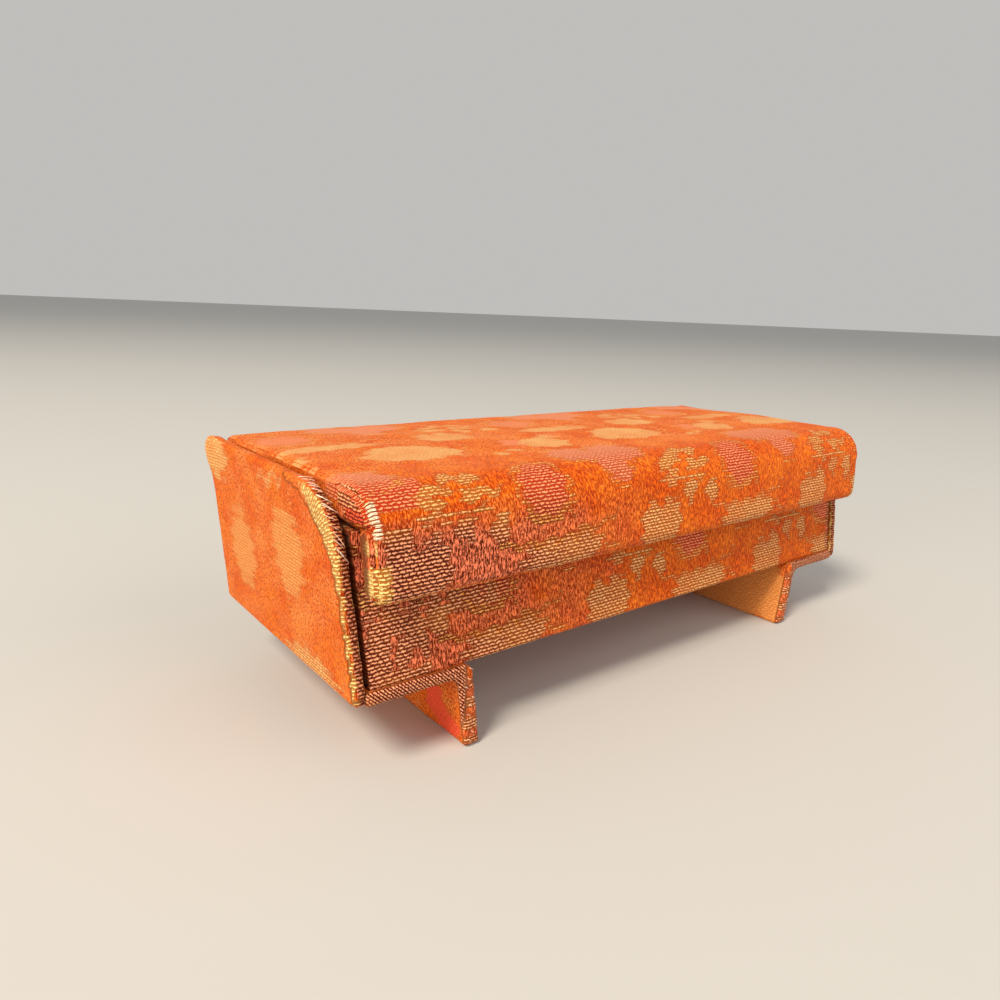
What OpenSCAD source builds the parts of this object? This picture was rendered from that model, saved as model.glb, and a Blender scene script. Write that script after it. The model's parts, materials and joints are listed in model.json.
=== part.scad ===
// Brocade-covered keepsake box, in millimetres.
// A card tray hangs between two tall end boards. Each end board turns in under the tray as a
// narrow flange and then down as a foot. A padded lid with a rounded nose and a front flap
// lies between the end boards and is hinged by a strip of brocade along the back.
// Front is -Y, up is +Z. The origin is on the ground, under the middle of the whole box.

/* [Overall] */
// Length over the bottom edges of the two end boards
box_length = 120; // [90:1:200]
// Depth of the base along the bottom of an end board
base_depth = 47.4; // [38:0.2:90]
// Height from the ground to the underside of the end boards
foot_height = 11.8; // [8:0.1:24]
// Height of an end board
end_height = 28.4; // [25:0.2:45]

/* [Slopes] */
// How far the front leans back for each millimetre of height
front_lean = 0.14; // [0:0.01:0.25]
// How far the back leans back for each millimetre of height
back_lean = 0.06; // [0:0.01:0.25]
// How far the lid's front flap leans back for each millimetre of height
flap_lean = 0.09; // [0:0.01:0.15]
// How far a foot leans inwards for each millimetre towards the ground
foot_lean = 0.14; // [0:0.01:0.2]
// How far each end board leans outwards for each millimetre of height
end_splay = 0.06; // [0:0.01:0.12]

/* [Cloth and card] */
// Thickness of the brocade and of the lining silk
cloth = 0.35; // [0.2:0.05:0.6]
// Width of the brocade turned over onto the inside of an end board
turn_in = 7; // [6.5:0.5:9]
// Thickness of the card in an end board
end_card = 1.2; // [0.8:0.1:2.5]
// Thickness of the card in the tray's four walls
wall_card = 1.8; // [1:0.1:3]
// Thickness of the card in the tray's floor
floor_card = 1.8; // [1:0.1:3]
// Thickness of the silk-covered lining cards
lining_card = 0.8; // [0.5:0.1:1.5]
// Thickness of the cards in the lid
lid_card = 2; // [1:0.1:2.5]
// Thickness of the card in a foot
foot_card = 1.7; // [1:0.1:3]
// Thickness of the card in the flange under the tray
flange_card = 1.15; // [0.8:0.05:2]

/* [End boards] */
// Radius of an end board's top front corner
shoulder_radius = 9.6; // [4:0.1:12]
// Radius of an end board's top back corner
heel_radius = 1.8; // [0.8:0.1:4]
// Radius of an end board's bottom corners
toe_radius = 1; // [0.4:0.1:3]

/* [Feet] */
// Distance from the bottom of an end board in to the outer face of its foot, at the ground
foot_inset = 18; // [10:0.5:24]
// Radius of the hollow bend between a foot and its flange
bend_radius = 1.8; // [0.5:0.1:3]
// Radius of the top inner corner, where a foot turns into its flange
crest_radius = 2; // [0.5:0.1:2.4]
// Radius along the lower edges of a foot
sole_radius = 0.5; // [0.4:0.1:0.8]
// Radius of a foot's front and back corners at the ground
foot_corner_radius = 1.2; // [0.5:0.1:3]

/* [Lid] */
// Height of the lid's crown above the top of the end boards
lid_proud = 1.1; // [0:0.1:3]
// Thickness of the lid at its crown
lid_thickness = 6.2; // [5:0.1:9]
// Fall of the lid's top from its crown to the nose
nose_fall = 0.4; // [0:0.1:1.5]
// Fall of the lid's top from its crown to the back edge
back_fall = 0.9; // [0:0.1:2]
// Distance of the crown behind the front of the base
crown_setback = 22; // [15:1:35]
// Radius of the lid's rounded nose
nose_radius = 6.2; // [3:0.1:6.6]
// Thickness of the front flap
flap_thickness = 4.3; // [4.2:0.1:6]
// Length of the front flap below the underside of the lid
flap_drop = 8.8; // [6:0.1:12]
// How far the flap's lip stands in front of the base
flap_overhang = 3.2; // [2.6:0.1:6]
// Radius of the flap's lip, front and back
lip_radius = 2; // [1:0.1:2]
// Radius of the lid's top back edge
back_radius = 1.4; // [0.5:0.1:2]
// Wadding left round the ends and the back of the lid's cards
wadding_edge = 0.8; // [0.4:0.1:2]
// Width of the brocade turned in under the lid, round the lining
lid_turn_in = 4; // [2:0.5:8]

/* [Hinge] */
// Height of the hinge cloth glued to the back of the tray
hinge_lower = 8; // [4:0.5:14]
// Height of the hinge cloth glued to the back edge of the lid
hinge_upper = 3; // [2:0.1:3.4]
// Free cloth on each side of the hinge line
hinge_slack = 0.4; // [0.4:0.05:0.8]

/* [Fits] */
// Groove between an end board and the lid or the tray's front
end_groove = 0.8; // [0.4:0.1:1.5]
// Gap between the tray's rim and the lid
rim_gap = 0.3; // [0.1:0.05:0.5]
// How far the tray's front and back lie inside the end boards' edges
panel_setback = 0.3; // [0:0.1:1]

/* [Hidden] */

BROCADE = "#e2601c";
CARD = "#a39a88";
SILK = "#e6c98a";
WADDING = "#eee8da";

arc_steps = 12;
crown_radius = 300;
tray_edge_radius = 0.8;
hinge_corner = 0.4;
wall_edge_radius = max(tray_edge_radius - cloth, 0);

end_thickness = end_card + 2 * cloth;
end_top = foot_height + end_height;
panel_depth = end_thickness + end_groove;
flange_thickness = flange_card + cloth;
foot_thickness = foot_card + 2 * cloth;

tray_bottom = foot_height + flange_thickness;
lid_top = end_top + lid_proud;
lid_under = lid_top - lid_thickness;
rim = lid_under - rim_gap;
wall_top = rim - cloth;
floor_under = tray_bottom + cloth;
floor_top = floor_under + floor_card;
lining_top = floor_top + lining_card;
wall_inner = end_thickness + wall_card;
silk_inner = wall_inner + lining_card;
cloth_and_wall = cloth + wall_card;
cloth_wall_silk = cloth_and_wall + lining_card;

flap_bottom = lid_under - flap_drop;
lid_inside = lid_under + cloth;
lid_card_end = panel_depth + cloth + wadding_edge;
hinge_z = (rim + lid_under) / 2;

// Length of a sloping line for each millimetre of height
function slope(lean) = sqrt(1 + lean * lean);

// The front and back faces of the tray and lid at height z, moved inwards by depth d
function front_y(z, d = 0) =
    panel_setback + front_lean * (z - foot_height) + d * slope(front_lean);
function back_y(z, d = 0) =
    base_depth - panel_setback + back_lean * (z - foot_height) - d * slope(back_lean);

// The outer face of the right end board at height z, moved inwards by depth d
function end_x(z, d = 0) =
    box_length / 2 + end_splay * (z - foot_height) - d * slope(end_splay);

// The front face of the flap at height z, moved inwards by depth d
function flap_y(z, d = 0) =
    -flap_overhang + lip_radius + flap_lean * (z - flap_bottom - lip_radius)
    + (d - lip_radius) * slope(flap_lean);

hinge_y = back_y(hinge_z) + cloth / 2;

// The foremost point is on the flap's lip, the rearmost on an end board's heel or the hinge cloth
heel_y = base_depth + back_lean * (end_height - heel_radius)
    - heel_radius * slope(back_lean) + heel_radius;
rear_most = max(heel_y, back_y(hinge_z + hinge_slack + hinge_upper, -cloth));
middle_y = (rear_most - flap_overhang) / 2;

function unit(v) = v / norm(v);
function turn(a, b) = a[0] * b[1] - a[1] * b[0];
function at(points, i) = points[(i + len(points)) % len(points)];

// An arc of radius r, or of what the two sides leave room for, at the corner c between p and n
function corner_arc(p, c, n, r) =
    let (
        u = unit(p - c),
        w = unit(n - c),
        half = acos(u * w) / 2,
        tangent = min(r / tan(half), 0.49 * norm(p - c), 0.49 * norm(n - c)),
        radius = tangent * tan(half),
        centre = c + unit(u + w) * radius / sin(half),
        a = c + u * tangent - centre,
        b = c + w * tangent - centre,
        start = atan2(a[1], a[0]),
        sweep = sign(turn(a, b)) * (180 - 2 * half)
    )
    [for (i = [0:arc_steps]) centre + radius * [cos(start + sweep * i / arc_steps),
                                               sin(start + sweep * i / arc_steps)]];

// The outline with each corner rounded by its own radius, 0 for a sharp one
function rounded(points, radii) = [
    for (i = [0:len(points) - 1])
        each radii[i] > 0
            ? corner_arc(at(points, i - 1), points[i], at(points, i + 1), radii[i])
            : [points[i]]
];

// Where two lines meet, each given by a point and a direction
function meet(p, d, q, e) = p + d * turn(q - p, e) / turn(d, e);

// The corners of an anticlockwise outline after side i, from corner i to the next, moves in by depths[i]
function inset(points, depths) = [
    for (i = [0:len(points) - 1])
        let (
            before = at(points, i) - at(points, i - 1),
            after = at(points, i + 1) - at(points, i),
            p = at(points, i) + unit([-before[1], before[0]]) * at(depths, i - 1),
            q = at(points, i) + unit([-after[1], after[0]]) * at(depths, i)
        )
        meet(p, before, q, after)
];

// The radii that go with an inset: smaller on a convex corner, larger on a hollow one
function inset_radii(points, radii, depth) = [
    for (i = [0:len(points) - 1])
        let (bend = turn(at(points, i) - at(points, i - 1), at(points, i + 1) - at(points, i)))
        radii[i] == 0 ? 0 : bend > 0 ? max(radii[i] - depth, 0) : radii[i] + depth
];

function same(points, value) = [for (p = points) value];

// An outline in Y and Z, extruded along X from x_low to x_high
module along_x(points, x_low, x_high) {
    translate([x_low, 0, 0])
        rotate([90, 0, 90])
            linear_extrude(x_high - x_low) polygon(points);
}

// An outline in X and Z, extruded along Y from y_low to y_high
module along_y(points, y_low, y_high) {
    translate([0, y_high, 0])
        rotate([90, 0, 0])
            linear_extrude(y_high - y_low) polygon(points);
}

// An outline in Y and Z that spans the box, its ends at a depth inside the end boards' outer faces
module spanning(points, depth) {
    intersection() {
        along_x(points, -box_length, box_length);
        along_y([[-end_x(0, depth), 0], [end_x(0, depth), 0],
                 [end_x(box_length, depth), box_length], [-end_x(box_length, depth), box_length]],
                -box_length, box_length);
    }
}

// An outline in Y and Z at the right end, between two depths inside the end board's outer face
module at_end(points, outer, inner) {
    intersection() {
        along_x(points, 0, box_length);
        along_y([[end_x(0, inner), 0], [end_x(0, outer), 0],
                 [end_x(box_length, outer), box_length], [end_x(box_length, inner), box_length]],
                -box_length, box_length);
    }
}

// Moves a piece from the front of the base to the middle of the box, and sets its colour
module piece(colour) {
    color(colour) translate([0, -middle_y, 0]) children();
}

// The pieces of one end are drawn for the right end; side -1 mirrors them to the left
module on_side(side) {
    scale_x = side < 0 ? 1 : 0;
    mirror([scale_x, 0, 0]) children();
}

// A wall or layer between two heights, its ends sloping with the front and back faces
function between_faces(z_low, z_high, front_depth, back_depth) = [
    [front_y(z_low, front_depth), z_low],
    [back_y(z_low, back_depth), z_low],
    [back_y(z_high, back_depth), z_high],
    [front_y(z_high, front_depth), z_high]
];
function front_slab(z_low, z_high, near, far) = [
    [front_y(z_low, near), z_low],
    [front_y(z_low, far), z_low],
    [front_y(z_high, far), z_high],
    [front_y(z_high, near), z_high]
];
function back_slab(z_low, z_high, near, far) = [
    [back_y(z_low, far), z_low],
    [back_y(z_low, near), z_low],
    [back_y(z_high, near), z_high],
    [back_y(z_high, far), z_high]
];

module tray_floor() {
    piece(CARD)
        spanning(between_faces(floor_under, floor_top, cloth_and_wall, cloth_and_wall), wall_inner);
}

module tray_front_wall() {
    piece(CARD)
        spanning(rounded(front_slab(floor_under, wall_top, cloth, cloth_and_wall),
                         [wall_edge_radius, 0, 0, 0]),
                 panel_depth + cloth);
}

module tray_back_wall() {
    piece(CARD)
        spanning(rounded(back_slab(floor_under, wall_top, cloth, cloth_and_wall),
                         [0, wall_edge_radius, 0, 0]),
                 panel_depth + cloth);
}

module tray_side_wall(side) {
    piece(CARD)
        on_side(side)
            at_end(between_faces(floor_under, wall_top, cloth_and_wall, cloth_and_wall),
                   end_thickness, wall_inner);
}

// One wrap of brocade: up the back, under the tray, up the front, and over both rims
module tray_cover() {
    tray = between_faces(tray_bottom, rim, 0, 0);
    radii = same(tray, tray_edge_radius);
    card = inset(tray, same(tray, cloth));
    piece(BROCADE)
        difference() {
            spanning(rounded(tray, radii), panel_depth);
            spanning(rounded(card, inset_radii(tray, [radii[0], radii[1], 0, 0], cloth)),
                     panel_depth + cloth);
            along_x(between_faces(floor_under, rim + 1, cloth_and_wall, cloth_and_wall),
                    -box_length, box_length);
        }
}

module floor_lining() {
    piece(SILK)
        spanning(between_faces(floor_top, lining_top, cloth_and_wall, cloth_and_wall), wall_inner);
}

module front_lining() {
    piece(SILK)
        spanning(front_slab(lining_top, wall_top, cloth_and_wall, cloth_wall_silk), silk_inner);
}

module back_lining() {
    piece(SILK)
        spanning(back_slab(lining_top, wall_top, cloth_and_wall, cloth_wall_silk), silk_inner);
}

// A side lining also folds over the top of its wall, as far as the end board
module side_lining(side) {
    piece(SILK)
        on_side(side)
            union() {
                at_end(between_faces(lining_top, rim, cloth_and_wall, cloth_and_wall),
                       wall_inner, silk_inner);
                at_end(between_faces(wall_top, rim, cloth_and_wall, cloth_and_wall),
                       end_thickness, silk_inner);
            }
}

// Outline of an end board, from its bottom front corner round by the back
end_outline = [
    [0, foot_height],
    [base_depth, foot_height],
    [base_depth + back_lean * end_height, end_top],
    [front_lean * end_height, end_top]
];
end_radii = [toe_radius, toe_radius, heel_radius, shoulder_radius];

function end_shape(depth) =
    rounded(inset(end_outline, same(end_outline, depth)),
            inset_radii(end_outline, end_radii, depth));

module end_board(side) {
    piece(CARD)
        on_side(side)
            at_end(end_shape(cloth), cloth, end_thickness - cloth);
}

// The brocade wraps the board's outer face and edges and turns over onto its inner face
module end_cover(side) {
    piece(BROCADE)
        on_side(side)
            difference() {
                at_end(end_shape(0), 0, end_thickness);
                at_end(end_shape(cloth), cloth, end_thickness - cloth);
                at_end(end_shape(turn_in), end_thickness - 2 * cloth, end_thickness + cloth);
            }
}

// Section of a foot and its flange, from the foot's inner corner at the ground
foot_outer = box_length / 2 - foot_inset;
foot_inner = foot_outer - foot_thickness * slope(foot_lean);
foot_bend = foot_outer + foot_lean * foot_height;
foot_section = [
    [foot_inner, 0],
    [foot_outer, 0],
    [foot_bend, foot_height],
    [end_x(foot_height, end_thickness), foot_height],
    [end_x(tray_bottom, end_thickness), tray_bottom],
    [foot_inner + foot_lean * tray_bottom, tray_bottom]
];
foot_radii = [sole_radius, sole_radius, bend_radius, 0, 0, crest_radius];
foot_depths = [cloth, cloth, cloth, 0, 0, cloth];
flange_start = foot_bend + bend_radius + cloth;

function foot_core() =
    rounded(inset(foot_section, foot_depths), inset_radii(foot_section, foot_radii, cloth));

// Side view of a foot, with its two corners at the ground rounded
function foot_side(depth) =
    rounded([[depth, depth], [base_depth - depth, depth],
             [base_depth - depth, tray_bottom + 1], [depth, tray_bottom + 1]],
            [foot_corner_radius, foot_corner_radius, 0, 0]);

module foot_and_flange_cards() {
    intersection() {
        along_y(foot_core(), cloth, base_depth - cloth);
        along_x(foot_side(cloth), 0, box_length / 2);
    }
}

module flange(side) {
    piece(CARD)
        on_side(side)
            intersection() {
                foot_and_flange_cards();
                translate([flange_start, 0, 0]) cube([box_length, base_depth, box_length]);
            }
}

module foot(side) {
    piece(CARD)
        on_side(side)
            intersection() {
                foot_and_flange_cards();
                cube([flange_start, base_depth, box_length]);
            }
}

// One wrap of brocade round a foot and its flange, open where it is glued under the tray
module foot_cover(side) {
    piece(BROCADE)
        on_side(side)
            difference() {
                intersection() {
                    along_y(rounded(foot_section, foot_radii), 0, base_depth);
                    along_x(foot_side(0), 0, box_length / 2);
                }
                foot_and_flange_cards();
            }
}

// Section of the lid, from the flap's lip round by the underside, the back and the top
lid_section = [
    [flap_y(flap_bottom), flap_bottom],
    [flap_y(flap_bottom, flap_thickness), flap_bottom],
    [flap_y(lid_under, flap_thickness), lid_under],
    [back_y(lid_under), lid_under],
    [back_y(lid_top - back_fall), lid_top - back_fall],
    [crown_setback, lid_top],
    [flap_y(lid_top - nose_fall), lid_top - nose_fall]
];
lid_radii = [lip_radius, lip_radius, 0, hinge_corner, back_radius, crown_radius, nose_radius];

function lid_shape(depth) =
    rounded(inset(lid_section, same(lid_section, depth)),
            inset_radii(lid_section, lid_radii, depth));

top_card = [
    [flap_y(lid_inside, flap_thickness - cloth - lid_card), lid_inside],
    [back_y(lid_inside, cloth + wadding_edge), lid_inside],
    [back_y(lid_inside + lid_card, cloth + wadding_edge), lid_inside + lid_card],
    [flap_y(lid_inside + lid_card, flap_thickness - cloth - lid_card), lid_inside + lid_card]
];
flap_card_bottom = flap_bottom + lip_radius + cloth;
flap_card = [
    [flap_y(flap_card_bottom, flap_thickness - cloth - lid_card), flap_card_bottom],
    [flap_y(flap_card_bottom, flap_thickness - cloth), flap_card_bottom],
    [flap_y(lid_inside, flap_thickness - cloth), lid_inside],
    [flap_y(lid_inside, flap_thickness - cloth - lid_card), lid_inside]
];
lining_outline = [
    [flap_y(lid_under, flap_thickness) + lid_turn_in, lid_under],
    [back_y(lid_under) - lid_turn_in, lid_under],
    [back_y(lid_under) - lid_turn_in, lid_inside],
    [flap_y(lid_under, flap_thickness) + lid_turn_in, lid_inside]
];

module lid_top_board() {
    piece(CARD) spanning(top_card, lid_card_end);
}

module lid_flap_board() {
    piece(CARD) spanning(flap_card, lid_card_end);
}

// The wadding fills the cover round the two cards and makes the rounded nose
module lid_wadding() {
    piece(WADDING)
        difference() {
            spanning(lid_shape(cloth), panel_depth + cloth);
            spanning(top_card, lid_card_end);
            spanning(flap_card, lid_card_end);
        }
}

module lid_cover() {
    piece(BROCADE)
        difference() {
            spanning(lid_shape(0), panel_depth);
            spanning(lid_shape(cloth), panel_depth + cloth);
            spanning(lining_outline, panel_depth + lid_turn_in);
        }
}

module lid_lining() {
    piece(SILK) spanning(lining_outline, panel_depth + lid_turn_in);
}

// The hinge is one strip of brocade; the part below the hinge line stays with the tray
module hinge_cloth_tray() {
    top = hinge_z - hinge_slack;
    piece(BROCADE)
        spanning(back_slab(top - hinge_lower, top, -cloth, 0), panel_depth);
}

module hinge_cloth_lid() {
    low = hinge_z + hinge_slack;
    piece(BROCADE)
        spanning(back_slab(low, low + hinge_upper, -cloth, 0), panel_depth);
}

tray_floor();
tray_front_wall();
tray_back_wall();
tray_side_wall(-1);  // tray_left_wall
tray_side_wall(1);  // tray_right_wall
tray_cover();
floor_lining();
front_lining();
back_lining();
side_lining(-1);  // left_lining
side_lining(1);  // right_lining
end_board(-1);  // end_board_left
end_board(1);  // end_board_right
end_cover(-1);  // end_cover_left
end_cover(1);  // end_cover_right
flange(-1);  // flange_left
flange(1);  // flange_right
foot(-1);  // foot_left
foot(1);  // foot_right
foot_cover(-1);  // foot_cover_left
foot_cover(1);  // foot_cover_right
hinge_cloth_tray();
lid_top_board();
lid_flap_board();
lid_wadding();
lid_cover();
lid_lining();
hinge_cloth_lid();
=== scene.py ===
"""Looks of a small footed keepsake box: card covered in orange brocade, with a padded hinged lid."""

import json
import math

import bpy
import numpy as np
from mathutils import Matrix, Vector, noise


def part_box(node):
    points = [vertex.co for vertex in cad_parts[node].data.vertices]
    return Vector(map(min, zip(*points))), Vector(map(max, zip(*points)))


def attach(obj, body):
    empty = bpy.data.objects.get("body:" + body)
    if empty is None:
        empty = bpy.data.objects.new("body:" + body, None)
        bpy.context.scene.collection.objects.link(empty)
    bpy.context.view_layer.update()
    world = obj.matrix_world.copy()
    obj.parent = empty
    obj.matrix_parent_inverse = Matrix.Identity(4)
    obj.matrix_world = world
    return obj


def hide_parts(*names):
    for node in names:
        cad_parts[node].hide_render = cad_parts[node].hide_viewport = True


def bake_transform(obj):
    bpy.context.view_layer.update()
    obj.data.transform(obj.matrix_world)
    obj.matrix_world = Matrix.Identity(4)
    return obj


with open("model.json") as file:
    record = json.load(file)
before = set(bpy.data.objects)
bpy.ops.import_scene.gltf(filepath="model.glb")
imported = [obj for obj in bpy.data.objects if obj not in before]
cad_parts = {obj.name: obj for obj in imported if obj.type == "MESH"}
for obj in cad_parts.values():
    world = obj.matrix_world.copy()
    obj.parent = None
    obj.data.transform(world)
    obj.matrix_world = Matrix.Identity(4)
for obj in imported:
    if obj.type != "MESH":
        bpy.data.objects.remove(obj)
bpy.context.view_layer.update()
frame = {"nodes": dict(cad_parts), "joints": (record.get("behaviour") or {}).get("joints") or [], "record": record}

# Sizes in metres. MM turns millimetres into metres
MM = 0.001

# Slopes of the faces, as millimetres sideways for each millimetre of height
FRONT_LEAN = 0.14
BACK_LEAN = 0.06
FLAP_LEAN = 0.09
FOOT_LEAN = 0.14
END_SPLAY = 0.06

# Cloth, card and rounded edges
CLOTH = 0.35 * MM
END_THICKNESS = 1.9 * MM
END_GROOVE = 0.8 * MM
WALL_AND_CLOTH = 2.15 * MM
FLAP_THICKNESS = 4.3 * MM
LIP_RADIUS = 2 * MM
NOSE_RADIUS = 6.2 * MM
BACK_RADIUS = 1.4 * MM
SHOULDER_RADIUS = 9.6 * MM
HEEL_RADIUS = 1.8 * MM
TOE_RADIUS = 1 * MM
FOOT_THICKNESS = 2.4 * MM
PANEL_SETBACK = 0.3 * MM
CROWN_SETBACK = 22 * MM
CROWN_FALL = 0.4 * MM
BACK_FALL = 0.9 * MM

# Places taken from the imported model
end_low, end_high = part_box("end_cover_right")
tray_low, tray_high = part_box("tray_cover")
lid_low, lid_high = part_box("lid_cover")
foot_low, foot_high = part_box("foot_cover_right")
BASE_FRONT = foot_low.y
BASE_BACK = foot_high.y
FOOT_HEIGHT = end_low.z
END_TOP = end_high.z
TRAY_BOTTOM = tray_low.z
RIM = tray_high.z
LID_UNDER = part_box("lid_lining")[0].z
LID_TOP = END_TOP + 1.1 * MM
FLAP_BOTTOM = lid_low.z
FLAP_FRONT = lid_low.y
HALF_LENGTH = end_high.x - END_SPLAY * (END_TOP - FOOT_HEIGHT)
PANEL_DEPTH = END_THICKNESS + END_GROOVE
HINGE_Z = frame["joints"][0]["pos_m"][2]
FOOT_OUTER = HALF_LENGTH - 18 * MM

# Width of the cloth's repeat along the box, and its height
REPEAT_WIDE = 46.5
REPEAT_HIGH = 38.0
# Distance between two weft ribs of the figures
RIB = 0.52


def slope(lean):
    """Length of a sloping line for each unit of height."""
    return math.hypot(1, lean)


def end_x(z, depth=0.0):
    """Outer face of the right end board at height z, moved inwards by a depth."""
    return HALF_LENGTH + END_SPLAY * (z - FOOT_HEIGHT) - depth * slope(END_SPLAY)


def front_y(z, depth=0.0):
    """Front face of the tray at height z, moved inwards by a depth."""
    return BASE_FRONT + PANEL_SETBACK + FRONT_LEAN * (z - FOOT_HEIGHT) + depth * slope(FRONT_LEAN)


def back_y(z, depth=0.0):
    """Back face of the tray and lid at height z, moved inwards by a depth."""
    return BASE_BACK - PANEL_SETBACK + BACK_LEAN * (z - FOOT_HEIGHT) - depth * slope(BACK_LEAN)


def flap_y(z, depth=0.0):
    """Front face of the lid's flap at height z, moved inwards by a depth."""
    lip = FLAP_FRONT + LIP_RADIUS + FLAP_LEAN * (z - FLAP_BOTTOM - LIP_RADIUS)
    return lip + (depth - LIP_RADIUS) * slope(FLAP_LEAN)


def rounded(points, radii, steps=10):
    """The outline with each corner rounded by its own radius, 0 for a sharp one."""
    outline = []
    count = len(points)
    for i, radius in enumerate(radii):
        before, corner, after = (np.array(points[(i + k) % count], float) for k in (-1, 0, 1))
        if radius == 0:
            outline.append(corner)
            continue
        u = (before - corner) / np.linalg.norm(before - corner)
        w = (after - corner) / np.linalg.norm(after - corner)
        half = math.acos(float(u @ w)) / 2
        centre = corner + (u + w) / np.linalg.norm(u + w) * radius / math.sin(half)
        tangent = radius / math.tan(half)
        start = corner + u * tangent - centre
        end = corner + w * tangent - centre
        first = math.atan2(start[1], start[0])
        sweep = math.atan2(end[1], end[0]) - first
        sweep = (sweep + math.pi) % (2 * math.pi) - math.pi
        for k in range(steps + 1):
            angle = first + sweep * k / steps
            outline.append(centre + radius * np.array([math.cos(angle), math.sin(angle)]))
    return np.array(outline)


# Outline of an end board in Y and Z, from its bottom front corner round by the back
END_OUTLINE = rounded(
    [
        (BASE_FRONT, FOOT_HEIGHT),
        (BASE_BACK, FOOT_HEIGHT),
        (BASE_BACK + BACK_LEAN * (END_TOP - FOOT_HEIGHT), END_TOP),
        (BASE_FRONT + FRONT_LEAN * (END_TOP - FOOT_HEIGHT), END_TOP),
    ],
    [TOE_RADIUS, TOE_RADIUS, HEEL_RADIUS, SHOULDER_RADIUS],
)

# Section of the lid in Y and Z, from the flap's lip up the front, over the top and down the back
LID_SECTION = rounded(
    [
        (flap_y(FLAP_BOTTOM), FLAP_BOTTOM),
        (flap_y(LID_TOP - CROWN_FALL), LID_TOP - CROWN_FALL),
        (BASE_FRONT + CROWN_SETBACK, LID_TOP),
        (back_y(LID_TOP - BACK_FALL), LID_TOP - BACK_FALL),
        (back_y(LID_UNDER), LID_UNDER),
        (flap_y(LID_UNDER, FLAP_THICKNESS), LID_UNDER),
        (flap_y(FLAP_BOTTOM, FLAP_THICKNESS), FLAP_BOTTOM),
    ],
    [LIP_RADIUS, NOSE_RADIUS, 0, BACK_RADIUS, 0, 0, LIP_RADIUS],
)


# Modelling helpers


def deselect():
    bpy.ops.object.select_all(action="DESELECT")


def activate(piece):
    """Makes one object the only one selected, and the active one."""
    deselect()
    piece.select_set(True)
    bpy.context.view_layer.objects.active = piece


def new_block(name, low, high):
    """Adds a cube between two corners, with its place in its mesh."""
    deselect()
    low, high = Vector(low), Vector(high)
    bpy.ops.mesh.primitive_cube_add(size=1, location=(low + high) / 2, scale=high - low)
    piece = bpy.context.active_object
    piece.name = piece.data.name = name
    bpy.ops.object.transform_apply(location=True, rotation=True, scale=True)
    return piece


def pick(piece, kind, test):
    """Opens edit mode with the vertices, edges or faces selected that lie where the test says."""
    activate(piece)
    bpy.ops.object.mode_set(mode="EDIT")
    bpy.ops.mesh.select_mode(type=kind)
    bpy.ops.mesh.select_all(action="DESELECT")
    bpy.ops.object.mode_set(mode="OBJECT")
    mesh = piece.data
    if kind == "FACE":
        for face in mesh.polygons:
            face.select = test(face.center, face.normal)
    elif kind == "EDGE":
        for edge in mesh.edges:
            a, b = (mesh.vertices[i].co for i in edge.vertices)
            edge.select = test(a, b)
    else:
        for vertex in mesh.vertices:
            vertex.select = test(vertex.co)
    bpy.ops.object.mode_set(mode="EDIT")


def leave_edit():
    bpy.ops.object.mode_set(mode="OBJECT")


def bevel(piece, test, width, segments):
    """Rounds the edges that lie where the test says."""
    pick(piece, "EDGE", test)
    bpy.ops.mesh.bevel(offset=width, segments=segments, affect="EDGES", clamp_overlap=True)
    leave_edit()


def bisect(piece, point, normal):
    """Cuts a loop of edges right round the piece, on a plane."""
    pick(piece, "FACE", lambda centre, direction: True)
    bpy.ops.mesh.bisect(plane_co=point, plane_no=normal)
    leave_edit()


def apply_modifier(piece, kind, **settings):
    activate(piece)
    modifier = piece.modifiers.new(kind.lower(), kind)
    for key, value in settings.items():
        setattr(modifier, key, value)
    bpy.ops.object.modifier_apply(modifier=modifier.name)


def positions(piece):
    co = np.empty(len(piece.data.vertices) * 3)
    piece.data.vertices.foreach_get("co", co)
    return co.reshape(-1, 3)


def normals(piece):
    directions = np.empty(len(piece.data.vertices) * 3)
    piece.data.vertices.foreach_get("normal", directions)
    return directions.reshape(-1, 3)


def place(piece, co):
    piece.data.vertices.foreach_set("co", np.asarray(co, float).ravel())
    piece.data.update()


def near(value, target, slack=0.02 * MM):
    return abs(value - target) < slack


def remesh(piece, voxel, smooth=2):
    """Gives the piece an even net of small faces, as cloth that can be pushed about."""
    apply_modifier(piece, "REMESH", mode="VOXEL", voxel_size=voxel)
    if smooth:
        apply_modifier(piece, "SMOOTH", factor=0.5, iterations=smooth)


def unevenness(co, size, seed):
    """Soft noise between about -1 and 1, for cloth that doesn't lie quite flat."""
    offset = Vector((seed * 17.3, seed * 5.1, seed * 9.7))
    return np.array([noise.noise(Vector(p) / size + offset) for p in co])


def along(outline, points, closed=True):
    """Distance along an outline of the nearest point on it, for each of the points."""
    start = outline
    end = np.roll(outline, -1, axis=0)
    if not closed:
        start, end = start[:-1], end[:-1]
    step = end - start
    length = np.linalg.norm(step, axis=1)
    keep = length > 1e-9
    start, step, length = start[keep], step[keep], length[keep]
    run = np.concatenate([[0], np.cumsum(length)[:-1]])
    best = np.full(len(points), np.inf)
    found = np.zeros(len(points))
    for a, d, size, before in zip(start, step, length, run):
        t = np.clip(((points - a) @ d) / size**2, 0, 1)
        gap = np.linalg.norm(points - a - t[:, None] * d, axis=1)
        closer = gap < best
        best[closer] = gap[closer]
        found[closer] = before + t[closer] * size
    return found, best


# The woven pattern. Each figure is a field in millimetres, above 0 inside the figure


def ellipse(u, v, cu, cv, ru, rv):
    return (1 - np.hypot((u - cu) / ru, (v - cv) / rv)) * min(ru, rv)


def bar(u, v, cu, cv, hu, hv):
    """A rectangle with half its width and half its height."""
    return np.minimum(hu - np.abs(u - cu), hv - np.abs(v - cv))


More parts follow.
